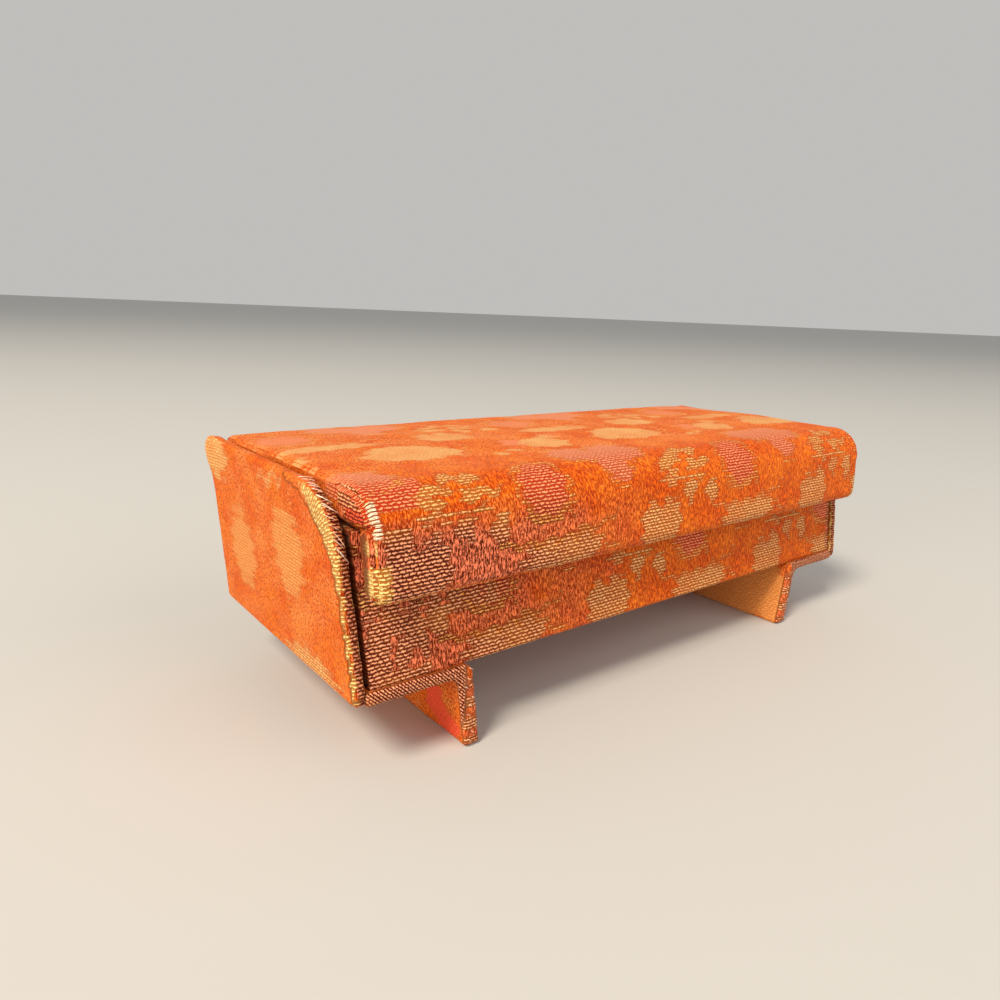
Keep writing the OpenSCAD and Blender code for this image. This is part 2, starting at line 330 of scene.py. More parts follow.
def flower(u, v, cu, cv, radius, petals, depth, turn=0.0):
    angle = np.arctan2(v - cv, u - cu)
    edge = radius * (1 + depth * np.cos(petals * angle + turn))
    return edge - np.hypot(u - cu, v - cv)


def stroke(u, v, points, half_width):
    """A thin drawn line through a few points."""
    best = np.full(np.shape(u), np.inf)
    for (au, av), (bu, bv) in zip(points, points[1:]):
        du, dv = bu - au, bv - av
        t = np.clip(((u - au) * du + (v - av) * dv) / (du * du + dv * dv), 0, 1)
        best = np.minimum(best, np.hypot(u - au - t * du, v - av - t * dv))
    return half_width - best


def union(*fields):
    return np.maximum.reduce(fields)


def repeat_unit(u, v):
    """One repeat of the cloth, its left edge at 0: the fields of the cream, rose, mauve and gold figures."""
    cream = union(
        ellipse(u, v, 43.9, 2.8, 2.6, 4.3),
        ellipse(u, v, 48.3, 3.0, 2.6, 4.5),
        ellipse(u, v, 46.0, 0.9, 4.2, 2.4),
        ellipse(u, v, 22.0, 1.6, 5.6, 2.6),
        ellipse(u, v, 27.6, 1.9, 4.2, 2.4),
        ellipse(u, v, 9.6, 30.6, 6.6, 5.4),
        ellipse(u, v, 5.2, 29.2, 3.8, 3.0),
        ellipse(u, v, 14.5, 29.6, 3.6, 3.6),
        ellipse(u, v, 35.5, 29.0, 4.8, 4.0),
        ellipse(u, v, 2.4, 10.2, 2.6, 1.0),
        ellipse(u, v, 6.9, 8.0, 1.4, 2.4),
        ellipse(u, v, 12.6, 7.2, 1.6, 2.1),
        ellipse(u, v, 39.6, 33.6, 2.1, 1.7),
    )
    petal = ellipse(u, v, 21.4, 12.2, 5.0, 5.3)
    rose = union(petal - 0.7, flower(u, v, 30.0, 31.0, 2.6, 5, 0.18))
    leaf = union(
        ellipse(u, v, 33.0, 19.6, 5.2, 4.0),
        ellipse(u, v, 41.4, 19.0, 5.4, 4.6),
        ellipse(u, v, 37.4, 14.8, 3.4, 4.4),
    )
    gold = union(*(ellipse(u, v, *where) for where in (
        (3.4, 13.9, 2.5, 1.2), (6.0, 15.5, 1.7, 1.3), (9.4, 15.1, 2.0, 1.2), (1.2, 12.2, 2.0, 0.8),
        (8.2, 12.2, 1.5, 1.2), (10.9, 12.4, 2.6, 0.8), (3.0, 11.4, 2.0, 0.8), (9.8, 10.3, 1.5, 0.8),
        (23.0, 24.5, 1.8, 1.1), (26.0, 25.8, 1.5, 0.9))))
    lines = union(
        stroke(u, v, [(12.0, 5.2), (15.0, 4.2), (20.0, 4.0), (27.0, 4.2), (31.5, 5.0), (35.6, 6.6)], 0.28),
        stroke(u, v, [(26.0, 8.0), (27.4, 5.4), (30.5, 3.6), (36.0, 0.6)], 0.26),
        stroke(u, v, [(16.0, 25.0), (19.0, 27.5), (20.6, 31.5), (20.0, 35.0)], 0.3),
        0.45 - np.abs(petal),
        0.30 - np.abs(leaf),
    )
    return cream, rose, leaf - 0.3, gold, lines


# The figures, from the lowest to the one on top
FIGURES = ("blush", "mauve", "rose", "gold", "cream", "lines", "pale", "fold")


def figures(u, v):
    """The fields over the whole cloth: the repeat goes on sideways, and upwards with a half step."""
    names = ("cream", "rose", "mauve", "gold", "lines")
    total = None
    for row in (-1, 0, 1):
        step = np.floor(v / REPEAT_HIGH) + row
        shifted_v = v - step * REPEAT_HIGH
        shifted_u = u + step * REPEAT_WIDE / 2
        for column in (-1, 0, 1):
            tile_u = np.mod(shifted_u, REPEAT_WIDE) + column * REPEAT_WIDE
            fields = repeat_unit(tile_u, shifted_v)
            total = fields if total is None else tuple(map(np.maximum, total, fields))
    return dict(zip(names, total))


def write_cloth(piece, flat, crimson_and_shade=0.0, wear_and_top_sheen=0.0, extra=None):
    """Stores the flat cloth coordinates as the UV map and the figures as attributes. flat gives (u, v)
    in millimetres for each corner of each face. The crimson value turns the cloth crimson up to 1, and from 1
    to 2 it paints shade over it, near black maroon at 2, for cloth in a groove's shadow. The wear value is how
    flat the threads are rubbed, and over the lid's top it also paints the cloth lighter, as its sheen. extra adds
    figures of its own, and its field named clear is above 0 where the cloth's repeat is left out."""
    mesh = piece.data
    layer = mesh.uv_layers.get("cloth") or mesh.uv_layers.new(name="cloth")
    layer.data.foreach_set("uv", (flat * MM).ravel())
    u, v = flat[:, 0], flat[:, 1]
    # Woven outlines are never quite smooth
    bent_u = u + 0.5 * np.sin(v * 1.9 + 1.3 * np.sin(u * 0.7)) + 0.25 * np.sin(v * 4.3 + u * 1.1)
    bent_v = v + 0.35 * np.sin(u * 1.7 + 1.1 * np.sin(v * 0.9))
    fields = figures(bent_u, bent_v)
    extra = dict(extra or {})
    clear = extra.pop("clear", None)
    fields["pale"] = fields["fold"] = fields["blush"] = np.full(len(flat), -3.0)
    for name in FIGURES:
        values = fields[name]
        if clear is not None:
            values = np.minimum(values, -clear)
        if name in extra:
            values = np.maximum(values, extra[name])
        attribute = mesh.attributes.new(name, "FLOAT", "CORNER")
        attribute.data.foreach_set("value", np.clip(values, -3, 3).astype(np.float32))
    for name, values in (("crimson_and_shade", crimson_and_shade), ("wear_and_top_sheen", wear_and_top_sheen)):
        attribute = mesh.attributes.new(name, "FLOAT", "CORNER")
        attribute.data.foreach_set("value", (np.zeros(len(flat)) + values).astype(np.float32))


def corners(piece):
    """Position of each face corner in millimetres, and the normal of its face."""
    mesh = piece.data
    vertex = np.empty(len(mesh.loops), int)
    mesh.loops.foreach_get("vertex_index", vertex)
    count = np.empty(len(mesh.polygons), int)
    mesh.polygons.foreach_get("loop_total", count)
    direction = np.empty(len(mesh.polygons) * 3)
    mesh.polygons.foreach_get("normal", direction)
    face = np.repeat(np.arange(len(mesh.polygons)), count)
    return positions(piece)[vertex] / MM, direction.reshape(-1, 3)[face]


# The pieces


def lid_pad():
    """The padded lid: brocade over wadding, its nose rounded, its flap hanging in front of the tray."""
    flap_back = flap_y(LID_UNDER, FLAP_THICKNESS)
    front_top = LID_TOP - CROWN_FALL
    back_top = LID_TOP - BACK_FALL
    piece = new_block("lid_brocade", (-1, BASE_FRONT, LID_UNDER), (1, BASE_BACK, LID_TOP))
    co = positions(piece)
    for i, (x, y, z) in enumerate(co):
        if z > LID_UNDER:
            z = front_top if y < 0 else back_top
        y = flap_y(z) if y < 0 else back_y(z)
        co[i] = (math.copysign(end_x(z, PANEL_DEPTH), x), y, z)
    place(piece, co)
    crown_y = BASE_FRONT + CROWN_SETBACK
    bisect(piece, (0, crown_y, 0), (0, 1, 0))
    co = positions(piece)
    on_crown = (np.abs(co[:, 1] - crown_y) < 0.1 * MM) & (co[:, 2] > LID_UNDER + MM)
    co[on_crown, 2] = LID_TOP
    place(piece, co)
    nose_y, rear_y = flap_y(front_top), back_y(back_top)
    bevel(piece, lambda a, b: near(a.y, nose_y) and near(b.y, nose_y), NOSE_RADIUS * 0.9, 14)
    bevel(piece, lambda a, b: near(a.y, rear_y) and near(b.y, rear_y), BACK_RADIUS, 5)
    # The flap is drawn down from the strip behind the nose
    bisect(piece, (0, flap_back, 0), (0, 1, 0))
    pick(piece, "FACE", lambda c, n: n.z < -0.9 and c.y < flap_back)
    drop = FLAP_BOTTOM - LID_UNDER
    bpy.ops.mesh.extrude_region_move(TRANSFORM_OT_translate={"value": (0, 0, drop)})
    leave_edit()
    co = positions(piece)
    for i, (x, y, z) in enumerate(co):
        if near(z, FLAP_BOTTOM):
            depth = 0 if y < (flap_y(LID_UNDER) + flap_back) / 2 else FLAP_THICKNESS
            co[i] = (math.copysign(end_x(z, PANEL_DEPTH), x), flap_y(z, depth), z)
    place(piece, co)
    bevel(
        piece,
        lambda a, b: near(a.z, FLAP_BOTTOM) and near(b.z, FLAP_BOTTOM) and near(a.y, b.y),
        LIP_RADIUS * 0.95, 6,
    )
    remesh(piece, 0.46 * MM)
    co = positions(piece)
    direction = normals(piece)
    section = co[:, 1:]
    run, depth = along(LID_SECTION, section)
    end_gap = np.array([end_x(z, PANEL_DEPTH) for z in co[:, 2]]) - np.abs(co[:, 0])
    # The ends' edges are soft, the top is slightly crowned and the cloth isn't quite flat
    edge = np.clip(1 - end_gap / (1.5 * MM), 0, 1) * (depth < 0.8 * MM)
    co -= direction * (edge**2 * 0.5 * MM)[:, None]
    crown = np.clip(end_gap / (9 * MM), 0, 1) ** 0.5
    upward = np.clip(direction[:, 2], 0, 1)
    co[:, 2] += upward * (crown - 0.8) * 0.35 * MM
    co += direction * (unevenness(co, 9 * MM, 1) * 0.12 * MM)[:, None]
    co += direction * (unevenness(co, 3.2 * MM, 2) * 0.05 * MM)[:, None]
    # The stuffed cheek and the flap's end swell, and a crease runs in between them
    crease_from = np.array([flap_back + 1.0 * MM, LID_UNDER + 0.1 * MM])
    crease_to = np.array([flap_y(LID_UNDER) + 0.5 * MM, LID_UNDER + 1.6 * MM])
    t = np.clip((section - crease_from) @ (crease_to - crease_from)
                / ((crease_to - crease_from) @ (crease_to - crease_from)), 0, 1)
    gap = np.linalg.norm(section - crease_from - t[:, None] * (crease_to - crease_from), axis=1)
    on_end = np.clip(np.abs(direction[:, 0]), 0, 1) * (end_gap < 2 * MM)
    swell = np.clip(depth / (1.6 * MM), 0, 1) * 0.35 * MM * (section[:, 0] < crease_from[0] + 3 * MM)
    groove = np.exp(-(gap / (0.45 * MM)) ** 2) * (1 - 0.4 * t) * 1.15 * MM
    co[:, 0] += np.sign(co[:, 0]) * (swell - groove) * on_end
    # The fold of cloth over the nose's end stands up in a rounded ridge
    start = along(LID_SECTION, np.array([[flap_y(FLAP_BOTTOM), FLAP_BOTTOM]]))[0][0]
    over_nose = np.clip(1 - np.abs(run - start - 13.5 * MM) / (5.5 * MM), 0, 1) ** 0.5
    ridge = np.exp(-((end_gap - 0.75 * MM) / (0.5 * MM)) ** 2) * (depth < 0.6 * MM)
    co += direction * (over_nose * ridge * 0.32 * MM)[:, None]
    # The cloth turned in under the lid stops round the lining, which lies level with it
    low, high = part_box("lid_lining")
    under = ((direction[:, 2] < -0.8) & (co[:, 2] < LID_UNDER + 0.3 * MM)
             & (np.abs(co[:, 0]) < high.x) & (co[:, 1] > low.y) & (co[:, 1] < high.y))
    co[under, 2] += 0.5 * MM
    place(piece, co)
    lid_cloth(piece)
    return piece


def lid_cloth(piece):
    """The lid's flat cloth: sideways along the box, and up from the flap's lip over the nose."""
    at, facing = corners(piece)
    run, depth = along(LID_SECTION / MM, at[:, 1:])
    start = along(LID_SECTION / MM, np.array([[flap_y(FLAP_BOTTOM), FLAP_BOTTOM]]) / MM)[0][0]
    v = run - start
    sheet = np.stack([at[:, 0] + 52.0, v], 1)
    end = (np.abs(facing[:, 0]) > 0.75)[:, None]
    finger_side = end[:, 0] & (at[:, 2] < LID_UNDER / MM + 0.6)
    cheek = np.stack([at[:, 1] + 9.0, at[:, 2] - 22.0], 1)
    flat = np.where(end, cheek, sheet)
    y = at[:, 1] - FLAP_FRONT / MM
    z = at[:, 2]
    on_end = np.where(end[:, 0], 3.0, -3.0)
    under = LID_UNDER / MM
    rose = np.minimum(on_end, np.minimum(z - under - 1.0, 7.5 - y))
    gold = np.minimum(on_end, np.minimum(under - 4.0 - z, 4.6 - y))
    end_gap = np.array([end_x(h * MM, PANEL_DEPTH) for h in z]) / MM - np.abs(at[:, 0])
    left = at[:, 0] < 0
    # The fold over the nose's left end: pale weft, painted near white along its crest as a highlight
    ridge = np.minimum(0.5 - np.abs(end_gap - 0.75 - 0.05 * (v - 11) ** 2 * 0.3), np.minimum(v - 8.4, 13.3 - v))
    ridge = np.where((depth < 1.0) & left, ridge, -3.0)
    flat = np.where(ridge[:, None] > -0.2, sheet, flat)
    rose = np.maximum(rose, np.minimum(bar(at[:, 0], v, -54.5, 14.6, 4.5, 3.0), -on_end))
    rose = np.maximum(rose, np.where(left, np.minimum(1.5 - end_gap, np.minimum(v - 9.5, 24 - v)), -3.0))
    clear = np.where(end[:, 0], 3.0, np.maximum(ridge, -3))
    finger = np.minimum(on_end, bar(y, z, 1.6, under - 1.2, 1.4, 1.0))
    pale = np.maximum(gold, finger)
    pale = np.maximum(pale, np.minimum(bar(end_gap, v, 0.3, 2.2, 1.6, 2.7), -on_end))
    gold = np.full(len(v), -3.0)
    ribs = np.minimum(bar(end_gap, v, 3.4, 6.2, 1.9, 3.4), -on_end)
    cream = np.minimum(on_end, np.minimum(z - under - 3.2, 9.5 - y))
    rose = np.where(cream > 0.4, -1.0, rose)
    cream = np.maximum(cream, np.where(at[:, 0] < 0, ribs, -1.0))
    # The ground turns crimson towards the left end of the flap's lower part, and over the front of each lid end
    crimson_and_shade = np.clip((-6 - at[:, 0]) / 36, 0, 1) * np.clip((12 - v) / 5, 0, 1) * (v > 0)
    crimson_and_shade = np.maximum(crimson_and_shade, np.where(end[:, 0], 0.8 * np.clip((13 - y) / 5, 0, 1), 0.0))
    # Painted shade: on the flap's end, behind its front 2 mm, the cloth is darkened to near black maroon as the
    # groove's shadow, and the strip in front of it is kept orange
    shade = np.where(end[:, 0] & (z < under + 1.2), np.clip((y - 1.7) / 0.4, 0, 1), 0.0)
    crimson_and_shade = np.where(finger_side & (y < 2.2), 0.1, crimson_and_shade)
    crimson_and_shade = np.where(shade > 0, np.maximum(crimson_and_shade, 1 + shade), crimson_and_shade)
    blush = np.minimum(on_end, ellipse(y, z, 4.0, under + 2.4, 3.4, 1.7))
    rose = np.where(blush > 0.3, -1.0, rose)
    own = {"rose": rose, "pale": pale, "cream": cream, "fold": ridge, "blush": blush, "clear": clear}
    # The threads lie flatter towards the back of each lid end and over the top; over the top this also paints the cloth
    # lighter, standing in for the silk's sheen
    wear_and_top_sheen = np.where(end[:, 0], np.clip((y - 9) / 6, 0, 0.7), np.clip((v - 15) / 14, 0, 0.7))
    wear_and_top_sheen = np.where(finger_side, 0.5, wear_and_top_sheen)
    write_cloth(piece, flat, crimson_and_shade, wear_and_top_sheen, own)


def end_cover(name, side):
    """Brocade over an end board, turned round its edges, with a wide soft fold at the shoulder."""
    outer_x = HALF_LENGTH
    piece = new_block(
        name,
        (outer_x - END_THICKNESS, BASE_FRONT, FOOT_HEIGHT),
        (outer_x, BASE_BACK, END_TOP),
    )
    co = positions(piece)
    for i, (x, y, z) in enumerate(co):
        lean = FRONT_LEAN if y < 0 else BACK_LEAN
        y += lean * (z - FOOT_HEIGHT)
        depth = 0 if near(x, outer_x) else END_THICKNESS
        co[i] = (end_x(z, depth), y, z)
    place(piece, co)
    front_top = BASE_FRONT + FRONT_LEAN * (END_TOP - FOOT_HEIGHT)
    back_top = BASE_BACK + BACK_LEAN * (END_TOP - FOOT_HEIGHT)
    for y, z, radius, segments in (
        (front_top, END_TOP, SHOULDER_RADIUS * 0.88, 14),
        (back_top, END_TOP, HEEL_RADIUS, 6),
        (BASE_FRONT, FOOT_HEIGHT, TOE_RADIUS, 4),
        (BASE_BACK, FOOT_HEIGHT, TOE_RADIUS, 4),
    ):
        bevel(
            piece,
            lambda a, b: near(a.y, y) and near(b.y, y) and near(a.z, z) and near(b.z, z),
            radius, segments,
        )
    remesh(piece, 0.38 * MM, 2)
    co = positions(piece)
    direction = normals(piece)
    run, depth = along(END_OUTLINE, co[:, 1:])
    total = np.linalg.norm(np.diff(np.vstack([END_OUTLINE, END_OUTLINE[:1]]), axis=0), axis=1).sum()
    # The outer edge is folded softly, and twice as wide round the shoulder
    shoulder = np.linalg.norm(co[:, 1:] - np.array([front_top + 2.6 * MM, END_TOP - 2.6 * MM]), axis=1)
    near_shoulder = np.exp(-(shoulder / (6.0 * MM)) ** 2)
    fold = (0.8 + 1.4 * near_shoulder) * MM
    outward = np.clip((co[:, 0] - np.array([end_x(z, END_THICKNESS / 2) for z in co[:, 2]])) / (0.9 * MM), 0, 1)
    drop = np.clip(1 - depth / fold, 0, 1) ** 2 * 0.28 * MM
    co[:, 0] -= drop * outward
    # The bunched cloth makes a blunt lump at the upper rear corner and puckers round the shoulder
    rear = np.array([back_top - 1.2 * MM, END_TOP - 2.2 * MM])
    lump = (1.0 if side < 0 else 0.3) * np.exp(-((co[:, 1] - rear[0]) / (2.6 * MM)) ** 2 - ((co[:, 2] - rear[1]) / (3.4 * MM)) ** 2)
    co += direction * (lump * 0.75 * MM)[:, None] * (0.35 + 0.65 * outward)[:, None]
    pucker = np.sin(run / (0.95 * MM) * 2 * math.pi) * near_shoulder * np.clip(1 - depth / (1.6 * MM), 0, 1)
    co += direction * (pucker * 0.10 * MM)[:, None]
    co += direction * (unevenness(co, 7 * MM, 3 + side) * 0.07 * MM)[:, None]
    co[:, 0] *= side
    place(piece, co)
    if side < 0:
        pick(piece, "FACE", lambda c, n: True)
        bpy.ops.mesh.flip_normals()
        leave_edit()
    end_cloth(piece, side, total / MM)
    return piece


def end_cloth(piece, side, total):
    """The end board's flat cloth, with the fold's ribs square to the edge all the way round."""
    at, facing = corners(piece)
    y = at[:, 1] - BASE_FRONT / MM
    z = at[:, 2] - FOOT_HEIGHT / MM
    run, depth = along(END_OUTLINE / MM, at[:, 1:])
    across = np.abs(at[:, 0]) - HALF_LENGTH / MM - END_SPLAY * z
    front_top = BASE_FRONT / MM + FRONT_LEAN * (END_TOP - FOOT_HEIGHT) / MM
    shoulder = np.hypot(at[:, 1] - front_top - 2.6, at[:, 2] - END_TOP / MM + 2.6)
    front_side = (run > total - 38) | (run < 47)
    turned = 0.5 + 2.8 * np.exp(-(shoulder / 6.5) ** 2) + 0.25 * np.sin(run * 2.1) * np.sin(run * 0.83)
    turned = turned * np.where((run > 3) & (run < 47), 0.3, 1.0)
    # The gathered band dies away towards the back, along the top and along the bottom
    band = np.clip((run - total + 38) / 10, 0, 1) + np.clip((47 - run) / 10, 0, 1)
    gone = 2.6 * (1 - band)
    thin = np.abs(facing[:, 0]) < 0.72
    edge = (front_side & (thin | (depth < turned)))[:, None]
    over_top = np.abs(facing[:, 2]) > np.abs(facing[:, 1])
    over = np.where(thin, across, 0)
    face = np.stack([y + 70.0 + np.where(over_top, 0, over), z + 60.0 + np.where(over_top, over, 0)], 1)
    across = np.where(thin, across, depth)
    fold = np.stack([across + 0.4, run], 1)
    flat = np.where(edge, fold, face)
    outer = facing[:, 0] * side > 0.3
    wavy_y = y + 0.45 * np.sin(z * 1.9 + y) + 0.2 * np.sin(z * 5.3)
    wavy_z = z + 0.45 * np.sin(y * 1.7) + 0.2 * np.sin(y * 4.9 + z)
    # On the worn face the outlines run over a millimetre or two, so the fields rise slowly
    medallions = 0.4 * union(
        ellipse(wavy_y, wavy_z, 17.9, 16.6, 5.3, 6.6),
        ellipse(wavy_y, wavy_z, 36.5, 12.0, 5.2, 6.4),
    )
    cream = 0.5 * union(
        ellipse(wavy_y, wavy_z, 12.6, 1.0, 8.2, 3.0),
        ellipse(wavy_y, wavy_z, 45.5, 26.0, 5.2, 3.8),
        stroke(wavy_y, wavy_z, [(18.5, 26.5), (21.0, 27.4), (23.5, 25.9), (27.0, 26.6)], 0.35),
    )
    pale = np.where(edge[:, 0], np.minimum(across + 0.55, turned + 0.2 - across) - gone, -1)
    on_face = outer & ~edge[:, 0]
    extra = {
        "cream": np.where(on_face, cream, -1),
        "lines": np.where(on_face, medallions, -1),
        "mauve": np.where(edge[:, 0], -0.55 - across - gone, -1),
        "pale": pale,
        "clear": np.full(len(y), 3.0),
    }
    # Painted shade: the half of the turned edge that faces the groove is painted dark crimson, and a little darker
    # still next to the groove, as the groove's shade
    crimson_and_shade = np.where(edge[:, 0], np.clip((-0.4 - across) / 0.4, 0.05, 1.3) * band, 0.0)
    wear_and_top_sheen = np.where(edge[:, 0] & (band > 0), 0.25 * (across > 0) * band + 0.6 * (1 - band), 0.6)
    wear_and_top_sheen = np.where(on_face, 0.6 - 0.25 * np.clip(1 - z / 9, 0, 1), wear_and_top_sheen)
    write_cloth(piece, flat, crimson_and_shade, wear_and_top_sheen, extra)


def grid_sheet(name, width, length, step):
    """A flat cut of cloth in X and Y with its corner at the origin, its own coordinates as UV map."""
    deselect()
    across = max(int(round(width / step)), 1)
    up = max(int(round(length / step)), 1)
    bpy.ops.mesh.primitive_grid_add(
        x_subdivisions=across, y_subdivisions=up, size=1, location=(0.5, 0.5, 0), calc_uvs=False
    )
    piece = bpy.context.active_object
    bpy.ops.object.transform_apply(location=True, rotation=False, scale=False)
    piece.name = piece.data.name = name
    co = positions(piece)
    co[:, 0] = (co[:, 0] - 0.5) * width
    co[:, 1] *= length
    place(piece, co)
    return piece


def section_point(path, distance):
    """Point at a distance along an open path in Y and Z, with the outward normal there."""
    step = np.diff(path, axis=0)
    length = np.linalg.norm(step, axis=1)
    run = np.concatenate([[0], np.cumsum(length)])
    place_y = np.interp(distance, run, path[:, 0])
    place_z = np.interp(distance, run, path[:, 1])
    index = np.clip(np.searchsorted(run, distance, side="right") - 1, 0, len(step) - 1)
    direction = step[index] / length[index][:, None]
    return place_y, place_z, direction


def tray_wrap():
    """One cut of brocade round the tray: over the front rim, down, under, up and over the back rim."""
    section = rounded(
        [
            (front_y(RIM, WALL_AND_CLOTH), RIM),
            (front_y(RIM), RIM),
            (front_y(TRAY_BOTTOM), TRAY_BOTTOM),
            (back_y(TRAY_BOTTOM), TRAY_BOTTOM),
            (back_y(RIM), RIM),
            (back_y(RIM, WALL_AND_CLOTH), RIM),
        ],
        [0, 0.7 * MM, 0.8 * MM, 0.8 * MM, 0.7 * MM, 0],
        6,
    )
    length = np.linalg.norm(np.diff(section, axis=0), axis=1).sum()
    turn = 1.5 * MM
    wide = 2 * end_x(TRAY_BOTTOM, PANEL_DEPTH) + 2 * turn
    piece = grid_sheet("tray_brocade", wide, length, 0.5 * MM)
    flat = positions(piece)
    y, z, direction = section_point(section, flat[:, 1])
    inward = np.stack([-direction[:, 1], direction[:, 0]], 1)
    half = wide / 2 - turn
    share = np.clip(flat[:, 0] / half, -1, 1)
    # The ends are turned in over the walls' ends, and less at the bottom and the rim
    wall = np.clip((z - TRAY_BOTTOM - 0.8 * MM) / (2 * MM), 0, 1)
    wall = np.minimum(wall, np.clip((RIM - 0.8 * MM - z) / (2 * MM), 0, 1))
    past = np.clip(np.abs(flat[:, 0]) - half, 0, None) * (0.4 + 0.6 * wall)
    x = share * np.array([end_x(h, PANEL_DEPTH) for h in z])
    co = np.stack([x, y + inward[:, 0] * past, z + inward[:, 1] * past], 1)
    co[:, 1] += inward[:, 0] * (0.08 + unevenness(co, 8 * MM, 21) * 0.06) * MM * wall
    place(piece, co)
    pick(piece, "FACE", lambda c, n: True)
    bpy.ops.mesh.flip_normals()
    leave_edit()
    at, facing = corners(piece)
    rise = at[:, 2] - TRAY_BOTTOM / MM
    flat_v = np.where(np.abs(facing[:, 2]) > 0.8, 60 + at[:, 1], rise)
    u = at[:, 0] + 58.8
    # The front turns crimson towards the left
    crimson_and_shade = np.clip((0 - at[:, 0]) / 50, 0, 1) * 0.9 * (at[:, 1] < 0)
    # Painted shade: the panel turns dark crimson towards its ends beside the grooves, and the ends turned in over the
    # walls are painted near black maroon, as the grooves' shadow
    end_gap = HALF_LENGTH / MM + END_SPLAY * (at[:, 2] - FOOT_HEIGHT / MM) - PANEL_DEPTH / MM - np.abs(at[:, 0])
    seam = np.clip(1.6 - end_gap, 0, 1)
    crimson_and_shade = np.maximum(crimson_and_shade, np.where(np.abs(facing[:, 0]) > 0.5, 2.0, seam))
    left = bar(at[:, 0], rise, -53.4, 6.5, 5.2, 7.5)
    left = np.maximum(left, bar(at[:, 0], rise, -42.0, 11.5, 6.0, 3.2))
    lean = 0.25 * np.sin(rise * 1.3 + at[:, 0])
    gaps = [bar(at[:, 0] + lean, rise, *where) for where in (
        (-55.6, 11.6, 0.5, 2.4), (-51.6, 9.0, 0.7, 2.6), (-48.6, 10.0, 0.5, 2.0), (-50.2, 3.0, 1.0, 1.6),
        (-53.6, 4.6, 0.5, 2.2), (-57.2, 5.4, 0.45, 1.8), (-45.4, 11.0, 0.6, 2.0), (-41.0, 12.2, 0.5, 1.4),
        (-38.6, 10.6, 0.6, 1.6))]
    left = np.minimum(left, -union(*gaps))
    cream = np.minimum(left, np.where(at[:, 1] < 0, 3.0, -3.0))
    cream = np.minimum(cream, end_gap - 0.9)
    write_cloth(piece, np.stack([u, flat_v], 1), crimson_and_shade, 0.0, {"cream": cream})
    apply_modifier(piece, "SOLIDIFY", thickness=0.3 * MM, offset=-1)
    return piece, (wide, length)


def foot_cover(name, side):
    """Brocade round a foot and its flange."""
    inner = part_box("foot_cover_right")[0].x
    bend = FOOT_OUTER + FOOT_LEAN * FOOT_HEIGHT
    flange_end = end_x(TRAY_BOTTOM, END_THICKNESS)
    top = TRAY_BOTTOM + 0.15 * MM
    top_inner = FOOT_OUTER - FOOT_THICKNESS * slope(FOOT_LEAN) + FOOT_LEAN * top
    piece = new_block(name, (top_inner, BASE_FRONT, FOOT_HEIGHT), (flange_end, BASE_BACK, top))
    bisect(piece, (bend, 0, 0), (1, 0, 0))
    pick(piece, "FACE", lambda c, n: n.z < -0.9 and c.x < bend)
    bpy.ops.mesh.extrude_region_move(TRANSFORM_OT_translate={"value": (0, 0, -FOOT_HEIGHT)})
    leave_edit()
    co = positions(piece)
    for i, (x, y, z) in enumerate(co):
        if near(z, 0):
            x = inner if near(x, top_inner) else FOOT_OUTER
        elif near(z, FOOT_HEIGHT) and near(x, top_inner):
            x = top_inner - FOOT_LEAN * (top - FOOT_HEIGHT)
        co[i] = (x, y, z)
    place(piece, co)
    bevel(piece, lambda a, b: near(a.z, 0) and near(b.z, 0) and near(a.x, b.x), 0.5 * MM, 3)
    bevel(
        piece,
        lambda a, b: near(a.z, top) and near(b.z, top) and near(a.x, top_inner) and near(b.x, top_inner),
        1.4 * MM, 5,
    )
    bevel(
        piece,
        lambda a, b: near(a.z, FOOT_HEIGHT) and near(b.z, FOOT_HEIGHT) and near(a.x, bend) and near(b.x, bend),
        1.6 * MM, 6,
    )
    remesh(piece, 0.36 * MM, 2)
    co = positions(piece)
    direction = normals(piece)
    corner = np.minimum(co[:, 1] - BASE_FRONT, BASE_BACK - co[:, 1])
    # The corners at the ground are rounded, and the front and back edges are soft
    toe = np.hypot(np.clip(1.2 * MM - corner, 0, None), np.clip(1.2 * MM - co[:, 2], 0, None)) - 1.2 * MM
    toe = np.clip(toe, 0, None)
    co[:, 2] += toe * 0.7
    co[:, 1] -= np.sign(co[:, 1]) * toe * 0.7
    co += direction * ((0.08 + unevenness(co, 4 * MM, 7 + side) * 0.08) * MM)[:, None]
    co[:, 2] = np.maximum(co[:, 2], 0)
    co[:, 0] *= side
    place(piece, co)
    if side < 0:
        pick(piece, "FACE", lambda c, n: True)
        bpy.ops.mesh.flip_normals()
        leave_edit()
    foot_cloth(piece, side, bend / MM)
    return piece


